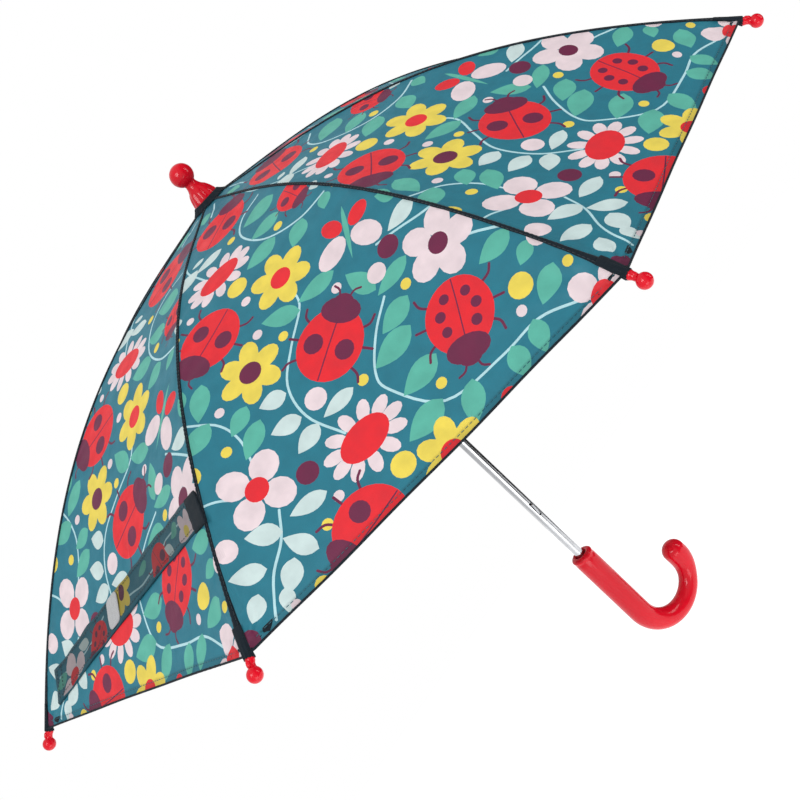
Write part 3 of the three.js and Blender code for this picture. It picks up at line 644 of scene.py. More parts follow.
def plain_cloth(name, colour, pitch, light=0.0, fuzz=0.0):
    """Plain woven cloth or webbing in one dye, with lint along its folds."""
    f = Finish(name)
    place = f.where()
    weave = f.weave(place, pitch)
    lint = f.noise(place, 900.0, 3.0, 0.6)
    dye = f.noise(place, 70.0, 3.0)
    pale = tuple(min(1, c * 1.6 + 0.002) for c in colour[:3])
    tone = f.mix(f.spread(dye, 0.0, 0.5), rgba(colour), rgba(pale))
    tone = f.mix(f.spread(lint, 0.0, 0.2 + light, 0.6, 0.85), tone, (0.07, 0.085, 0.095, 1))
    height = f.maths("ADD", weave, f.maths("MULTIPLY", lint, 0.8 + fuzz))
    return f.surface(
        f.principled(
            Base_Color=tone, Roughness=f.spread(dye, 0.62, 0.82), Normal=f.bump(height, 0.6, 0.00025),
            Sheen_Weight=0.04, Sheen_Roughness=0.5, Specular_IOR_Level=0.15,
        )
    )


def gloss_plastic(name, colour):
    """Injection-moulded gloss plastic with flow marks, hairline scratches and dulled handling spots."""
    f = Finish(name)
    place = f.where()
    flow = f.noise(place, 35.0, 3.0, 0.5, (1.0, 1.0, 0.3))
    handled = f.noise(place, 120.0, 4.0, 0.6)
    scratches = f.noise(place, 700.0, 2.0, 0.7, (1.0, 6.0, 0.4))
    tone = f.mix(f.spread(flow, 0.0, 0.55), rgba(colour), rgba(colour, 0.72))
    tone = f.mix(f.spread(scratches, 0.0, 0.04, 0.66, 0.78), tone, (0.9, 0.3, 0.3, 1))
    rough = f.spread(handled, 0.10, 0.24, 0.35, 0.75)
    height = f.maths("ADD", f.maths("MULTIPLY", flow, 0.5), f.maths("MULTIPLY", scratches, 0.12))
    return f.surface(
        f.principled(
            Base_Color=tone, Roughness=rough, Normal=f.bump(height, 0.12, 0.0006), Coat_Weight=0.1,
            Coat_Roughness=0.06, Specular_IOR_Level=0.28,
        )
    )


def satin_plastic(name, colour):
    """Moulded plastic with a fine spark-eroded grain, paler where it is rubbed."""
    f = Finish(name)
    place = f.where()
    grain = f.noise(place, 2600.0, 2.0, 0.6)
    rubbed = f.noise(place, 160.0, 4.0, 0.65)
    tone = f.mix(f.spread(rubbed, 0.0, 0.6, 0.5, 0.8), rgba(colour), (0.09, 0.09, 0.095, 1))
    return f.surface(
        f.principled(
            Base_Color=tone, Roughness=f.spread(rubbed, 0.30, 0.5), Normal=f.bump(grain, 0.25, 0.00008),
            Specular_IOR_Level=0.5,
        )
    )


def metal(name, colour, smoothest, roughest, grain, stretch, spots=0.3):
    """Plated or drawn metal: grain along the drawing direction, fingerprints and dark specks."""
    f = Finish(name)
    place = f.where()
    drawn = f.noise(place, grain, 3.0, 0.6, stretch)
    touched = f.noise(place, 90.0, 4.0, 0.6)
    specks = f.noise(place, 1500.0, 1.0, 0.5)
    tone = f.mix(f.spread(touched, 0.0, 0.45), rgba(colour), rgba(colour, 0.55))
    tone = f.mix(f.spread(specks, 0.0, spots, 0.68, 0.8), tone, (0.08, 0.07, 0.06, 1))
    streaks = f.maths("MULTIPLY", drawn, (roughest - smoothest) * 0.6)
    rough = f.maths("ADD", f.spread(touched, smoothest, roughest), streaks)
    return f.surface(
        f.principled(Base_Color=tone, Metallic=1.0, Roughness=rough, Normal=f.bump(drawn, 0.15, 0.00012))
    )


def thread(name, colour):
    """Spun polyester sewing thread, with its twist."""
    f = Finish(name)
    place = f.where()
    twist = f.noise(place, 3000.0, 2.0, 0.5, (1.0, 1.0, 0.5))
    tone = f.mix(f.spread(twist, 0.0, 0.5), rgba(colour), rgba(colour, 0.5))
    return f.surface(
        f.principled(
            Base_Color=tone, Roughness=f.spread(twist, 0.45, 0.7), Normal=f.bump(twist, 0.5, 0.0001),
            Sheen_Weight=0.2,
        )
    )


def looped_tape(name, colour):
    """The soft half of a hook and loop fastening."""
    f = Finish(name)
    place = f.where()
    loops = f.add("TexVoronoi", {"Vector": place, "Scale": 1400.0, "Randomness": 1.0}).outputs["Distance"]
    fuzz = f.noise(place, 2200.0, 4.0, 0.7)
    height = f.maths("ADD", f.maths("MULTIPLY", fuzz, 0.8), f.maths("SUBTRACT", 1.0, loops))
    tone = f.mix(f.spread(fuzz, 0.0, 0.7), rgba(colour), rgba(colour, 0.55))
    return f.surface(
        f.principled(
            Base_Color=tone, Roughness=f.spread(fuzz, 0.8, 0.95), Normal=f.bump(height, 0.8, 0.0004),
            Sheen_Weight=0.5,
        )
    )


def pale_floor():
    """Seamless pale studio floor, faintly mottled."""
    f = Finish("pale studio floor")
    mottle = f.noise(f.where(), 3.0, 3.0)
    tone = f.mix(f.spread(mottle, 0.0, 1.0), (0.93, 0.93, 0.93, 1), (0.97, 0.97, 0.97, 1))
    return f.surface(
        f.principled(
            Base_Color=tone, Roughness=f.spread(mottle, 0.85, 0.95), Normal=f.bump(mottle, 0.05, 0.001),
            Emission_Color=(1, 1, 1, 1), Emission_Strength=0.45,
        )
    )


FINISHES = {}


def finish(name):
    """A finish by its short name, made when it is first asked for."""
    if name not in FINISHES:
        c = bpy.context.scene.umbrella_colours
        makers = {
            "print": printed_cloth,
            "binding": lambda: plain_cloth("dark seam binding", c.binding, 0.0005),
            "gathered": lambda: plain_cloth("gathered dark cloth", c.binding, 0.0004, 0.05),
            "thread": lambda: thread("dark sewing thread", c.thread),
            "hem thread": lambda: thread("teal sewing thread", tuple(0.6 * x for x in c.ground)),
            "red": lambda: gloss_plastic("gloss red plastic", c.plastic),
            "black": lambda: satin_plastic("satin black plastic", c.fittings),
            "chrome": lambda: metal("chromed tube", c.chrome, 0.07, 0.17, 260.0, (1, 1, 0.08), 0.15),
            "wire": lambda: metal("plated rib steel", c.wire, 0.26, 0.40, 900.0, (0.25, 0.25, 0.25)),
            "spring": lambda: metal("spring steel", c.wire, 0.22, 0.36, 1200.0, (1, 1, 0.1), 0.5),
            "tape": lambda: looped_tape("grey loop tape", c.tape),
        }
        FINISHES[name] = makers[name]()
    return FINISHES[name]


def ink_colours(c):
    return [tuple(x) for x in (c.ground, c.leaf, c.pale_leaf, c.petal, c.red, c.maroon, c.yellow, c.vine)]


def paint_inks(mesh, tones, colours):
    """Lays each face's ink down as a colour attribute."""
    layer = mesh.attributes.new("Ink", "FLOAT_COLOR", "CORNER")
    values = np.array([(*c[:3], 1.0) for c in colours], np.float32)[np.asarray(tones)]
    counts = np.zeros(len(mesh.polygons), np.int32)
    mesh.polygons.foreach_get("loop_total", counts)
    layer.data.foreach_set("color", np.repeat(values, counts, axis=0).ravel())


def ride_rib(o, i, folds=True):
    """The piece moves with rib i, and when folds is set it gets a mesh of its own."""
    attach(o, f"rib_{i}")
    if folds:
        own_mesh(o)
    return o


def on_each_rib(name, points, faces, materials, looks):
    """A cloth piece made once for every rib, moving with it."""
    for i in range(1, RIBS + 1):
        o = new_piece(f"{name}_{i}", points, faces, materials, rib_turn(i), looks=looks)
        ride_rib(o, i)


# ------------------------------------------------------------------ what a user may change
def number_property(name, description, default, low, high, **kind):
    """One size or share, with its limits."""
    return bpy.props.FloatProperty(
        name=name, description=description, default=default, min=low, max=high, **kind
    )


LENGTH = {"subtype": "DISTANCE", "unit": "LENGTH"}
SHARE = {"subtype": "FACTOR"}


class UmbrellaSizes(bpy.types.PropertyGroup):
    """Sizes in metres, and two shares."""

    seam_width: number_property(
        "Seam width", "Width of the dark binding over each rib", 0.0026, 0.001, 0.008, **LENGTH
    )
    seam_end_width: number_property(
        "Seam width at the tips", "Width of the binding where it meets a tip", 0.0062, 0.002, 0.012, **LENGTH
    )
    hem_cord: number_property(
        "Hem edge", "Thickness of the rolled edge along the hem", 0.0013, 0.0005, 0.004, **LENGTH
    )
    hem_depth: number_property(
        "Hem depth", "Depth of the cloth folded under along the hem", 0.0048, 0.002, 0.015, **LENGTH
    )
    stitch_pitch: number_property(
        "Stitch pitch", "Distance from one stitch to the next", 0.003, 0.0015, 0.01, **LENGTH
    )
    wrinkle_depth: number_property(
        "Wrinkle depth", "How strongly the cloth puckers, beside its usual depth", 1.0, 0.0, 3.0, **SHARE
    )
    print_grid: number_property(
        "Cloth grid", "Distance between the points that shape the cloth", 0.006, 0.003, 0.02, **LENGTH
    )
    folded_share: number_property(
        "Folded width", "Closed width of each gore, as a share of its open width", 0.24, 0.05, 1.0, **SHARE
    )
    floor_drop: number_property(
        "Floor below", "Distance from the hand grip down to the studio floor", 1.0, 0.1, 3.0, **LENGTH
    )


def colour_property(name, description, default):
    """One colour."""
    return bpy.props.FloatVectorProperty(
        name=name, description=description, default=default, size=3, min=0.0, max=1.0, subtype="COLOR"
    )


class UmbrellaColours(bpy.types.PropertyGroup):
    ground: colour_property("Ground", "The cloth's ground colour", linear(30, 122, 142))
    leaf: colour_property("Leaf", "Printed green leaves", linear(92, 186, 166))
    pale_leaf: colour_property("Pale leaf", "Printed pale leaves", linear(212, 232, 230))
    petal: colour_property("Petal", "Printed pink-white petals", linear(243, 224, 228))
    red: colour_property("Red ink", "Printed beetles and flower middles", linear(240, 30, 42))
    maroon: colour_property("Maroon ink", "Printed spots and heads", linear(112, 26, 68))
    yellow: colour_property("Yellow ink", "Printed flowers and dots", linear(246, 222, 86))
    vine: colour_property("Vine", "Printed pale blue stems", linear(188, 230, 236))
    binding: colour_property("Binding", "Seam binding and gathered cloth", (0.006, 0.012, 0.018))
    thread: colour_property("Thread", "Sewing thread", (0.01, 0.02, 0.028))
    plastic: colour_property("Plastic", "Handle, top and tips", (0.74, 0.004, 0.018))
    fittings: colour_property("Fittings", "Runner and crown", (0.018, 0.018, 0.02))
    chrome: colour_property("Chrome", "The shaft's tube", (0.66, 0.67, 0.69))
    wire: colour_property("Wire", "Ribs, stretchers, rings and catches", (0.46, 0.47, 0.49))
    tape: colour_property("Loop tape", "The strap's fastening patch", (0.50, 0.51, 0.52))


# ------------------------------------------------------------------ operators
class UMBRELLA_OT_stage(bpy.types.Operator):
    """Camera, pale floor and soft studio light"""

    bl_idname = "umbrella.stage"
    bl_label = "Stage"

    def execute(self, context):
        scene = context.scene
        scene.view_settings.view_transform = "Standard"
        data = bpy.data.cameras.new("camera")
        data.lens, data.sensor_width, data.clip_end = 52.27, 36.0, 50.0
        camera = bpy.data.objects.new("camera", data)
        scene.collection.objects.link(camera)
        camera.matrix_world = Matrix(
            (
                (0.5899, 0.7468, -0.3069, -0.2876),
                (-0.3997, -0.0601, -0.9146, -0.8268),
                (-0.7015, 0.6623, 0.2631, 0.4801),
                (0, 0, 0, 1),
            )
        )
        scene.camera = camera

        half, drop = ROOM_SIZE / 2, scene.umbrella_sizes.floor_drop
        mesh = bpy.data.meshes.new("floor")
        corners = [(-half, -half, -drop), (half, -half, -drop), (half, half, -drop), (-half, half, -drop)]
        mesh.from_pydata(corners, [], [(0, 1, 2, 3)])
        mesh.materials.append(pale_floor())
        floor = bpy.data.objects.new("floor", mesh)
        scene.collection.objects.link(floor)

        self.light(scene, "key softbox", (-1.5, -1.3, 1.9), 26.0, 1.2, 1.2)
        self.light(scene, "side softbox", (1.7, -1.2, 0.7), 9.0, 0.5, 1.6)
        self.light(scene, "low fill", (-0.6, -1.5, -0.4), 5.0, 1.0, 0.6)
        self.world(scene)
        return {"FINISHED"}

    def light(self, scene, name, place, power, width, height):
        data = bpy.data.lights.new(name, "AREA")
        data.shape, data.size, data.size_y, data.energy = "RECTANGLE", width, height, power
        o = bpy.data.objects.new(name, data)
        scene.collection.objects.link(o)
        o.location = place
        o.rotation_mode = "QUATERNION"
        aim = Vector((0, 0, 0.25)) - Vector(place)
        o.rotation_quaternion = aim.to_track_quat("-Z", "Y")

    def world(self, scene):
        """White behind the object, a soft room lighting it, and a room with one dark side mirrored in it."""
        world = bpy.data.worlds.new("studio")
        scene.world = world
        world.use_nodes = True
        tree = world.node_tree
        tree.nodes.clear()
        link, new = tree.links.new, tree.nodes.new
        place, path = new("ShaderNodeTexCoord"), new("ShaderNodeLightPath")

        def towards(way, stops):
            """A grey for each direction, by how far it points along a way: 0 opposite, 1 along it."""
            along, scaled = new("ShaderNodeVectorMath"), new("ShaderNodeMath")
            ramp = new("ShaderNodeValToRGB")
            along.operation, scaled.operation = "DOT_PRODUCT", "MULTIPLY_ADD"
            along.inputs[1].default_value = way
            scaled.inputs[1].default_value = scaled.inputs[2].default_value = 0.5
            for position, tone in stops:
                tones = ramp.color_ramp.elements
                stop = tones.new(position) if 0 < position < 1 else tones[-int(position)]
                stop.color = (tone, tone, tone * 1.01, 1)
            link(place.outputs["Generated"], along.inputs[0])
            link(along.outputs["Value"], scaled.inputs[0])
            link(scaled.outputs[0], ramp.inputs["Fac"])
            light = new("ShaderNodeBackground")
            link(ramp.outputs["Color"], light.inputs["Color"])
            return light

        room = towards((0, 0, 1), ((0.0, 0.55), (0.42, 1.0), (0.5, 0.4), (0.62, 0.72), (1.0, 1.0)))
        room.inputs["Strength"].default_value = 0.8
        mirrored = towards(
            (0.95, -0.32, 0),
            ((0.0, 0.8), (0.45, 0.95), (0.68, 0.62), (0.79, 0.05), (0.93, 0.015), (1.0, 0.02)),
        )
        mirrored.inputs["Strength"].default_value = 0.85
        seen = new("ShaderNodeBackground")
        seen.inputs["Color"].default_value = (1, 1, 1, 1)
        lit, shown = new("ShaderNodeMixShader"), new("ShaderNodeMixShader")
        out = new("ShaderNodeOutputWorld")
        for share, mixer, under, over in (
            ("Is Glossy Ray", lit, room, mirrored), ("Is Camera Ray", shown, lit, seen),
        ):
            link(path.outputs[share], mixer.inputs[0])
            link(under.outputs[0], mixer.inputs[1])
            link(over.outputs[0], mixer.inputs[2])
        link(shown.outputs[0], out.inputs["Surface"])


class UMBRELLA_OT_canopy(bpy.types.Operator):
    """Eight gores of printed cloth, cut so that the print runs on across their joins"""

    bl_idname = "umbrella.canopy"
    bl_label = "Canopy"

    def execute(self, context):
        sizes, inks = context.scene.umbrella_sizes, ink_colours(context.scene.umbrella_colours)
        flat, tris, tones = self.panel(sizes.print_grid / MM)
        middle = flat[tris].mean(1)[:, 0]
        halves = []
        for sign, side in ((-1, middle < 0), (1, middle > 0)):
            used, index = np.unique(tris[side], return_inverse=True)
            places, normals = on_panel(flat[used, 0], flat[used, 1], sizes.wrinkle_depth)
            turn = sign * HALF
            halves.append(
                (turned_about_z(places, turn), turned_about_z(normals, turn), flat[used],
                 index.reshape(-1, 3), tones[side])
            )
        if not all(len(h[3]) for h in halves):
            raise RuntimeError("the panel was cut into no triangles on one side")
        points, faces, uvs, tone, normals = self.gore(halves)
        for i in range(1, RIBS + 1):
            o = new_piece(f"gore_{i}", points, faces, finish("print"), rib_turn(i), uvs / 10)
            paint_inks(o.data, tone, inks)
            o.data.normals_split_custom_set(turned_about_z(normals, rib_turn(i)).tolist())
            ride_rib(o, i)
            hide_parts(f"canopy_{i}")
        return {"FINISHED"}

    def panel(self, step):
        """One flat panel with its print, split down its middle line."""
        ends = hem_radius(np.linspace(0, 1, 49))
        w = np.linspace(0, 1, 49)
        hem = np.stack([2 * math.sin(HALF) * ends * (w - 0.5), flat_down(ends)], -1)
        top = np.linspace(CLOTH_START, TIP_RADIUS * HEM_ON_RIB, 64)[:-1]
        left = np.stack([-math.sin(HALF) * top, flat_down(top)], -1)
        right = np.stack([math.sin(HALF) * top, flat_down(top)], -1)[::-1]
        outline = np.concatenate([left, hem, right])
        low, high = flat_down(CLOTH_START), flat_down(TIP_RADIUS * HEM_MIDWAY)
        middle = np.stack([np.zeros(70), np.linspace(low, high, 70)], -1)
        rows = []
        for n, v in enumerate(np.arange(low + step / 2, 372, step * 0.9)):
            rc = np.interp(v, FLAT_DOWN, FLAT_RADII)
            reach = math.sin(HALF) * rc
            line = np.arange(-reach + 2 + (n % 2) * step / 2, reach - 2, step)
            w = 0.5 + line / (2 * reach)
            line = line[(flat_down(hem_radius(w)) > v + 1.2) & (np.abs(line) > 1)]
            rows.append(np.stack([line, np.full(len(line), v)], -1))
        return inked(outline, panel_print(), np.concatenate(rows), [middle])

    def gore(self, halves):
        """The two half panels beside a rib, joined along it."""
        (p1, n1, f1, t1, c1), (p2, n2, f2, t2, c2) = halves
        known = {round(p[0], 3): i for i, p in enumerate(p1) if abs(p[1]) < 1e-4}
        index, extra = np.zeros(len(p2), int), []
        for i, p in enumerate(p2):
            mate = known.get(round(p[0], 3)) if abs(p[1]) < 1e-4 else None
            index[i] = len(p1) + len(extra) if mate is None else mate
            if mate is None:
                extra.append(i)
        points = np.concatenate([p1, p2[extra]])
        uvs = np.concatenate([f1, f2[extra]])
        # counter-clockwise seen from outside
        faces = [tuple(t) for t in t1] + [tuple(index[t]) for t in t2]
        corner_normals = np.concatenate([n1[t1].reshape(-1, 3), n2[t2].reshape(-1, 3)])
        first = np.array(faces[0])
        across = np.cross(points[first[1]] - points[first[0]], points[first[2]] - points[first[0]])
        if across[2] < 0:
            faces = [f[::-1] for f in faces]
            corner_normals = corner_normals.reshape(-1, 3, 3)[:, ::-1].reshape(-1, 3)
        return points, faces, uvs, np.concatenate([c1, c2]), corner_normals


class UMBRELLA_OT_seams(bpy.types.Operator):
    """Dark binding over each rib, with a row of stitches down both sides"""

    bl_idname = "umbrella.seams"
    bl_label = "Seams"

    def execute(self, context):
        sizes = context.scene.umbrella_sizes
        wide, end = sizes.seam_width / MM, sizes.seam_end_width / MM
        rc = np.linspace(13, TIP_RADIUS * HEM_ON_RIB - 2.5, 150)
        share = np.clip((rc - 300) / 48, 0, 1) ** 3
        half = (wide + (end - wide) * share) / 2
        half *= 1 + 0.08 * np.sin(rc / 2.3) * np.sin(rc / 7.1)
        loops = []
        for r, h in zip(rc, half):
            ripple = 0.12 * math.sin(r / 1.9)
            lifts = ((-1, 0.12), (-0.55, 0.55 + ripple), (0, 0.85), (0.55, 0.55 - ripple), (1, 0.12))
            top = [beside_rib(r, h * t, lift) for t, lift in lifts]
            under = [beside_rib(r, h * t, -0.25) for t in (0.8, 0, -0.8)]
            loops.append(top + under)
        bound = skin(np.array(loops)[:, ::-1])
        threads = []
        for side in (-1, 1):
            line = beside_rib(rc, side * half * 0.62, 0.55)
            up = np.stack([-cloth_slope(rc), np.zeros_like(rc), np.ones_like(rc)], -1)
            threads += stitches(line, up, sizes.stitch_pitch / MM, sizes.stitch_pitch / MM * 0.72)
        sewn = joined(threads)
        points, faces = joined([bound, sewn])
        looks = [0] * len(bound[1]) + [1] * len(sewn[1])
        finishes = [finish("binding"), finish("thread")]
        on_each_rib("seam", points, faces, finishes, looks)
        return {"FINISHED"}


class UMBRELLA_OT_hems(bpy.types.Operator):
    """Rolled dark edge and folded hem along the rim, with its row of stitches"""

    bl_idname = "umbrella.hems"
    bl_label = "Hems"

    def execute(self, context):
        sizes = context.scene.umbrella_sizes
        radius, depth = sizes.hem_cord / MM / 2, sizes.hem_depth / MM
        w = np.linspace(-0.5, 0.5, 97)
        edge = self.line(w, 0.0, sizes.wrinkle_depth)
        cord = rounded_tube(edge, radius * (1 + 0.1 * np.sin(w * 310)), 8)
        inner = self.line(w, depth, sizes.wrinkle_depth)
        mid = self.line(w, depth / 2, sizes.wrinkle_depth)
        down = np.array((0, 0, 1.0))
        section = ((edge, 0.25), (mid, 0.35), (inner, 0.3), (inner, 0.62), (mid, 0.85), (edge, 0.8))
        loops = np.stack([points - down * below for points, below in section], 1)
        fold = skin(loops)
        line = self.line(w, depth * 0.72, sizes.wrinkle_depth)
        up = np.tile((0.5, 0, 0.87), (len(line), 1))
        rows = stitches(line + down * 0.12, up, sizes.stitch_pitch / MM, sizes.stitch_pitch / MM * 0.7)
        sewn = joined(rows)
        points, faces = joined([cord, fold, sewn])
        looks = [0] * len(cord[1]) + [1] * len(fold[1]) + [2] * len(sewn[1])
        finishes = [finish("binding"), finish("binding"), finish("hem thread")]
        on_each_rib("hem", points, faces, finishes, looks)
        return {"FINISHED"}

    def line(self, w, inward, depth):
        """Points on the wrinkled cloth beside a rib, that far in from its edge."""
        rc = hem_radius(w) - inward * 0.8
        out = []
        for turn, side in ((-HALF, w <= 0), (HALF, w > 0)):
            across = 2 * math.sin(HALF) * rc[side] * (0.5 - np.abs(w[side]))
            across = across if turn > 0 else -across
            places, _ = on_panel(across, flat_down(rc[side]), depth)
            out.append(turned_about_z(places, turn))
        return np.concatenate(out)


class UMBRELLA_OT_tips(bpy.types.Operator):
    """Ball tips on their necks, and the dark cloth gathered on to them"""

    bl_idname = "umbrella.tips"
    bl_label = "Tips"

    def execute(self, context):
        ball, neck, collar, length = TIP_BALL, TIP_NECK_RADIUS, TIP_COLLAR, TIP_NECK
        profile = [(1.2, -3.8)]
        profile += [
            (r, up - length)
            for r, up in (
                (1.35, 0.2), (collar - 0.7, -0.1), (collar - 0.2, 0), (collar, 0.4), (collar + 0.05, 1.2),
                (collar - 0.15, 2.1), (neck + 0.12, 2.9), (neck, 3.8), (neck + 0.05, 4.7),
            )
        ]
        first = math.asin((neck + 0.35) / ball)
        for t in np.linspace(first, math.pi - 0.03, 18):
            profile.append((ball * math.sin(t), -ball * math.cos(t)))
        body = lathe(profile, 32)
        lug = lathe([(0.15, -2.3), (0.9, -2.1), (1.25, -1.2), (1.3, 0.4), (1.0, 1.6), (0.15, 1.9)], 14)
        lug_points = np.asarray(lug[0]) @ np.diag([0.75, 1.0, 1.0]) + (2.5, 0, -5.6)
        points, faces = joined([body, (lug_points, lug[1])])
        centre = np.array([TIP_RADIUS, 0, float(rib_line(TIP_RADIUS))])
        fall = math.atan(float(rib_line(TIP_RADIUS) - rib_line(TIP_RADIUS - 10)) / 10)
        c, s = math.cos(fall), math.sin(fall)
        # the turned piece's Z goes along the rib, and its X up from the cloth
        along, up = np.array([c, 0, s]), np.array([-s, 0, c])
        side = np.array([0, 1.0, 0])
        laid = points[:, 2:3] * along + points[:, 0:1] * up - points[:, 1:2] * side + centre
        loops = []
        for t in np.linspace(0, 1, 15):
            r = 341.5 + 9.0 * t
            on_cloth = np.array([r, 0, float(cloth_height(r)) + 0.2])
            on_neck = centre - along * (length + 3.6 - 4.3 * t)
            k = t * t * (3 - 2 * t)
            mid = on_cloth * (1 - k) + on_neck * k
            wide, tall = 3.2 * (1 - k) + 2.95 * k, 0.7 * (1 - k) + 2.95 * k
            swell = 1 + 0.05 * math.sin(math.pi * t)
            a = np.linspace(0, 2 * math.pi, 36, endpoint=False)
            pleat = 1 + (0.03 + 0.10 * k) * np.sin(9 * a + 1.7 * t)
            loops.append(
                mid + side * (np.cos(a) * wide * swell * pleat)[:, None]
                + up * (np.sin(a) * tall * swell * pleat)[:, None]
            )
        gather_points, gather_faces = skin(np.array(loops))
        for i in range(1, RIBS + 1):
            tip = new_piece(f"tip_ball_{i}", laid, faces, finish("red"), rib_turn(i))
            ride_rib(tip, i, folds=False)
            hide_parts(f"tip_{i}")
            dark = finish("gathered")
            gather = new_piece(f"tip_gather_{i}", gather_points, gather_faces, dark, rib_turn(i))
            ride_rib(gather, i, folds=False)
        return {"FINISHED"}


class UMBRELLA_OT_top(bpy.types.Operator):
    """The knob on its fluted skirt, and the gathered cloth ring under it"""

    bl_idname = "umbrella.top"
    bl_label = "Top"

    def execute(self, context):
        knob, knob_z, neck, skirt = KNOB, KNOB_HEIGHT, FERRULE_NECK, FERRULE_SKIRT
        profile = [(4.4, 8.3), (4.4, 1.7), (skirt - 1.0, 1.3), (skirt - 0.3, 1.55), (skirt, 2.2)]
        profile += [(skirt - 0.1, 3.2), (skirt - 0.55, 4.8), (skirt - 1.2, 6.8), (skirt - 1.95, 8.6)]
        profile += [(skirt - 2.9, 10.4)]
        profile += [(neck + 1.9, 12.0), (neck + 1.05, 13.5), (neck + 0.45, 15.0), (neck, 16.8)]
        first = math.asin((neck + 0.25) / knob)
        for t in np.linspace(first, math.pi - 0.02, 30):
            profile.append((knob * math.sin(t), knob_z - knob * math.cos(t)))

        def fluted(z, angles):
            deep = 0.12 * math.exp(-(((z - 6.5) / 4.6) ** 2)) if 2 < z < 15 else 0.0
            return 1 - deep * (0.5 + 0.5 * np.cos(FLUTES * angles + math.pi)) ** 1.6

        points, faces = lathe(profile, 96, fluted)
        top = new_piece("ferrule_knob", points, faces, finish("red"), HALF)
        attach(top, "shaft")
        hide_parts("ferrule")

        angles = np.linspace(0, 2 * math.pi, 144, endpoint=False)
        loops = []
        for r, z in (
            (4.6, 0.1), (7.0, 0.3), (9.4, 0.6), (10.5, 0.85), (11.3, 2.1), (12.0, 1.7), (12.9, 0.6),
            (13.9, -0.5), (15.0, -1.5), (15.8, -2.1), (15.9, -2.5), (15.2, -2.6), (14.2, -2.3),
        ):
            gathered = max(0.0, (r - 11.0) / 4.5)
            ruffle = 0.38 * gathered * np.sin(23 * angles + 0.8 * np.sin(5 * angles))
            out = 1 + 0.02 * gathered * np.sin(17 * angles)
            loops.append(np.stack([r * out * np.cos(angles), r * out * np.sin(angles), z + ruffle], -1))
        points, faces = skin(np.array(loops)[:, ::-1], caps=False)
        ring = new_piece("top_rosette", points, faces, finish("gathered"))
        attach(ring, "shaft")
        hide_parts("rosette")
        return {"FINISHED"}


class UMBRELLA_OT_handle(bpy.types.Operator):
    """The gloss hook handle with its rolled mouth"""

    bl_idname = "umbrella.handle"
    bl_label = "Handle"

    def execute(self, context):
        rim = (
            (40, SHAFT_CLEAR), (4, SHAFT_CLEAR), (2.2, 5.0), (0.9, 5.4), (0.25, 5.75), (0, 6.6), (0.3, 7.8),
            (0.8, 8.7), (1.3, 9.4), (2.0, 9.95), (2.8, 10.05), (3.5, 9.95), (4.2, 9.75), (4.9, 9.7),
            (6.2, 9.85), (9, 9.95),
        )
        stations = [(0, HANDLE_TOP - down, 0, r) for down, r in rim]
        stations += [(0, HANDLE_TOP - down, 0, GRIP) for down in (16, 26, 38, 50, 62, 72)]
        bend = HANDLE_TOP - GRIP_STRAIGHT

        def place(a):
            return HOOK * (1 - math.cos(a)), bend - HOOK * math.sin(a), a

        def ease(t):
            return t * t * (3 - 2 * t)

        for share in np.linspace(0, 1, 57):
            if share < 0.75:
                r = GRIP + (HOOK_THIN - GRIP) * ease(share / 0.75)
            else:
                r = HOOK_THIN + (HOOK_END - HOOK_THIN) * ease((share - 0.75) / 0.25)
            stations.append((*place(HOOK_SWEEP * share), r))
        x, z, a = place(HOOK_SWEEP)
        for t in np.linspace(0.04, math.pi / 2 - 0.03, 14):
            on = HOOK_TAIL + HOOK_END * 0.95 * math.sin(t)
            stations.append((x + on * math.sin(a), z - on * math.cos(a), a, HOOK_END * math.cos(t)))
        sides = np.linspace(0, 2 * math.pi, 56, endpoint=False)
        loops = []
        for x, z, a, r in stations:
            across = r * np.cos(sides)
            ring = [x + across * math.cos(a), r * np.sin(sides), z + across * math.sin(a)]
            loops.append(np.stack(ring, -1))
        points, faces = skin(np.array(loops)[:, ::-1])
        o = new_piece("hook_handle", points, faces, finish("red"))
        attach(o, "shaft")
        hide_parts("handle")
        return {"FINISHED"}


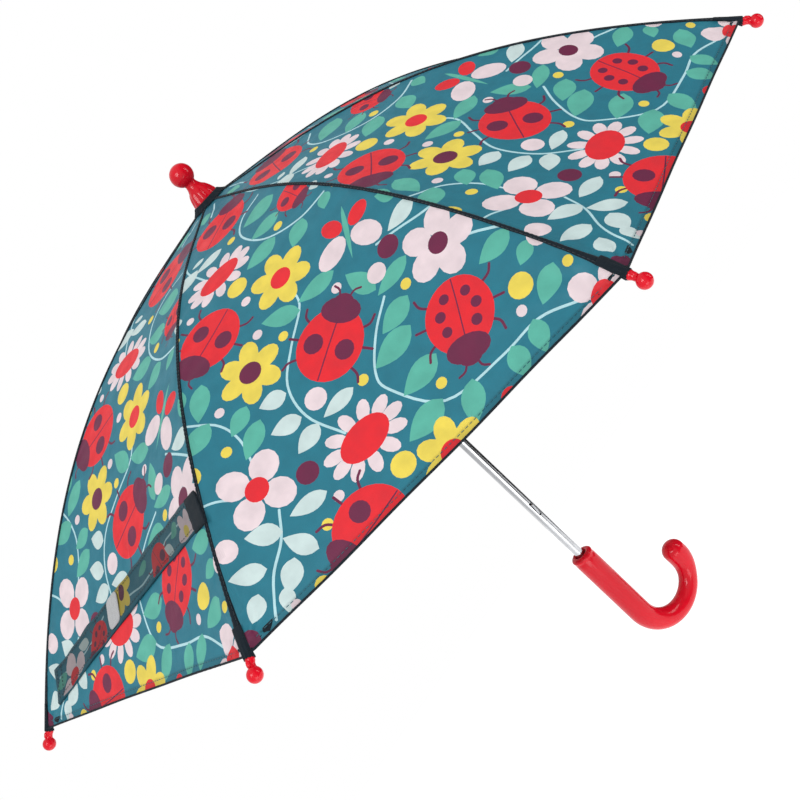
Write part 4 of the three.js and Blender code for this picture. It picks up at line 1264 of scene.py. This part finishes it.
class UMBRELLA_OT_strap(bpy.types.Operator):
    """The closing strap, its folded and stitched edges, and its fastening patch"""

    bl_idname = "umbrella.strap"
    bl_label = "Strap"

    def execute(self, context):
        sizes, inks = context.scene.umbrella_sizes, ink_colours(context.scene.umbrella_colours)
        length = STRAP_LENGTH
        x = np.linspace(-length / 2, length / 2, 90)
        half = STRAP_WIDTH / 2
        wave = 0.5 * np.sin(x / 17) + 0.3 * np.sin(x / 7.3)
        near, far = np.stack([x, -half + wave * 0.6], -1), np.stack([x, half + wave * 0.5], -1)
        outline = np.concatenate([near, far[::-1]])
        grid = np.array([(p, q) for p in x[1:-1:2] + 0.7 for q in np.linspace(-half + 1.6, half - 1.6, 7)])
        flat, tris, tones = inked(outline, strap_print(length), grid)
        share = flat[:, 0] / length + 0.5
        rise = 0.25 * np.sin(flat[:, 0] / 9) + 0.2 * np.sin(flat[:, 0] / 4.1 + flat[:, 1] / 3)
        rise += 0.45 * (np.abs(flat[:, 1]) > half - 2.0)
        points = self.over(share, flat[:, 1], 1.15 + rise)
        under = self.over(share, flat[:, 1], np.full(len(flat), 0.45))
        n = len(flat)
        rim = {}
        for t in tris:
            for p, q in ((t[0], t[1]), (t[1], t[2]), (t[2], t[0])):
                rim[(p, q)] = rim.get((p, q), 0) + 1
        walls = [(q, p, p + n, q + n) for p, q in rim if (q, p) not in rim]
        faces = [tuple(t) for t in tris] + [tuple(t[::-1] + n) for t in tris] + walls
        t0 = tris[0]
        if np.cross(points[t0[1]] - points[t0[0]], points[t0[2]] - points[t0[0]])[2] < 0:
            faces = [f[::-1] for f in faces]
        # The strap's inks at 45 %: partly the duller reverse side of the cloth, partly painted shade, as the
        # strap lies in shadow.
        dull_and_shaded_inks = [tuple(c * 0.45 for c in ink) for ink in inks]
        o = new_piece(
            "closing_strap", np.concatenate([points, under]), faces, finish("print"), rib_turn(STRAP_RIB),
            np.concatenate([flat, flat]) / 10,
        )
        paint_inks(o.data, np.concatenate([tones, tones, np.zeros(len(walls), int)]), dull_and_shaded_inks)
        ride_rib(o, STRAP_RIB)
        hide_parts("strap")

        rows, up = [], (0.5, 0.1, 0.85)
        xs = np.linspace(-length / 2 + 2, length / 2 - 2, 120)
        for side in (-1, 1):
            line = self.over(xs / length + 0.5, side * (half - 2.3), 1.75)
            rows += stitches(line, np.tile(up, (120, 1)), sizes.stitch_pitch / MM, 2.1)
        for end in (-1, 1):
            ys = np.linspace(-half + 1.5, half - 1.5, 12)
            for inset in (3.0, 9.0):
                line = self.over(0.5 + end * (0.5 - inset / length), ys, 1.8)
                rows += stitches(line, np.tile(up, (12, 1)), 2.4, 1.7)
        points, faces = joined(rows)
        sewn = new_piece("strap_stitches", points, faces, finish("thread"), rib_turn(STRAP_RIB))
        ride_rib(sewn, STRAP_RIB)

        # the doubled dark end where the strap is sewn to the seam
        loops = []
        for s in np.linspace(-0.036, 0.048, 9):
            ys = np.linspace(-half - 0.4, half + 0.4, 9)
            puff = 0.5 * math.cos((s - 0.006) / 0.042 * math.pi / 2)
            top = self.over(s, ys, 1.7 + puff + 0.25 * np.sin(ys * 1.3 + s * 60))
            low = self.over(s, ys[::-1], 0.5)
            loops.append(np.concatenate([top, low]))
        points, faces = skin(np.array(loops))
        fold = new_piece("strap_fold", points, faces, finish("gathered"), rib_turn(STRAP_RIB))
        ride_rib(fold, STRAP_RIB)

        # the fastening patch: a rounded oblong pad with a bound edge
        loops = []
        for grow, lift in ((0.96, 1.55), (1.0, 1.75), (1.0, 2.3), (0.93, 2.6), (0.6, 2.75), (0.2, 2.78)):
            a = np.linspace(0, 2 * math.pi, 40, endpoint=False) + 0.01
            k = grow / np.maximum(np.abs(np.cos(a)) ** 5 + np.abs(np.sin(a)) ** 5, 1e-6) ** 0.2
            wobble = 0.12 * np.sin(7 * a) * (lift > 2.5)
            along, across = PATCH_HALF[0] * k * np.cos(a), PATCH_HALF[1] * k * np.sin(a)
            loops.append(self.over(PATCH_AT + along / STRAP_LENGTH, across, lift + wobble))
        points, faces = skin(np.array(loops))
        patch = new_piece("strap_loop_patch", points, faces, finish("tape"), rib_turn(STRAP_RIB))
        ride_rib(patch, STRAP_RIB)
        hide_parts("strap_patch")
        return {"FINISHED"}

    def over(self, share, across, lift):
        """A point over the cloth beside the strap's rib, share of the way along the strap."""
        share, across = np.broadcast_arrays(share, across)
        (r0, w0), (r1, w1) = STRAP_START, STRAP_END
        rc = (r0 + (r1 - r0) * share - STRAP_BOW * share * (1 - share)) * TIP_RADIUS
        w = w0 + (w1 - w0) * share
        chord = 2 * TIP_RADIUS * 0.86 * math.sin(HALF) * (w1 - w0)
        rise = (r1 - r0) * TIP_RADIUS
        long = math.hypot(chord, rise)
        p = cloth_point(rc + across * chord / long * 0.8, w - across * rise / long / chord * (w1 - w0))
        p[..., 1] *= -1
        p[..., 2] += lift * np.hypot(1, cloth_slope(rc))
        return p


class UMBRELLA_OT_fittings(bpy.types.Operator):
    """Finishes on the shaft, runner, crown, ribs, stretchers, rivets, rings and catches"""

    bl_idname = "umbrella.fittings"
    bl_label = "Fittings"

    def execute(self, context):
        looks = {
            "shaft": "chrome", "crown": "black", "runner": "black", "crown_ring": "wire",
            "runner_ring": "wire",
            "stop_pin": "wire", "top_catch": "spring", "bottom_catch": "spring",
        }
        for i in range(1, RIBS + 1):
            looks.update({f"rib_{i}": "wire", f"stretcher_{i}": "wire", f"rivet_{i}": "wire"})
        for name, look in looks.items():
            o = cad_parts.get(name)
            if o is None:
                raise RuntimeError(f"the frame has no node named {name}")
            o.data.materials.clear()
            o.data.materials.append(finish(look))
        return {"FINISHED"}


STEPS = (
    UMBRELLA_OT_stage,
    UMBRELLA_OT_canopy,
    UMBRELLA_OT_seams,
    UMBRELLA_OT_hems,
    UMBRELLA_OT_tips,
    UMBRELLA_OT_top,
    UMBRELLA_OT_handle,
    UMBRELLA_OT_strap,
    UMBRELLA_OT_fittings,
)


class UMBRELLA_PT_panel(bpy.types.Panel):
    """Every piece of the umbrella, with its sizes and colours"""

    bl_idname = "UMBRELLA_PT_panel"
    bl_label = "Umbrella"
    bl_space_type = "VIEW_3D"
    bl_region_type = "UI"
    bl_category = "Umbrella"

    def draw(self, context):
        column = self.layout.column(align=True)
        for step in STEPS:
            column.operator(step.bl_idname)
        for group in (context.scene.umbrella_sizes, context.scene.umbrella_colours):
            box = self.layout.box()
            for key in group.__annotations__:
                box.prop(group, key)


CLASSES = (UmbrellaSizes, UmbrellaColours, *STEPS, UMBRELLA_PT_panel)


def register():
    for c in CLASSES:
        bpy.utils.register_class(c)
    bpy.types.Scene.umbrella_sizes = bpy.props.PointerProperty(type=UmbrellaSizes)
    bpy.types.Scene.umbrella_colours = bpy.props.PointerProperty(type=UmbrellaColours)


def unregister():
    del bpy.types.Scene.umbrella_colours
    del bpy.types.Scene.umbrella_sizes
    for c in reversed(CLASSES):
        bpy.utils.unregister_class(c)


def main():
    register()
    for step in STEPS:
        group, name = step.bl_idname.split(".")
        result = getattr(getattr(bpy.ops, group), name)()
        if result != {"FINISHED"}:
            raise RuntimeError(f"{step.bl_idname} did not finish")
    bpy.context.view_layer.update()


if __name__ == "__main__":
    main()
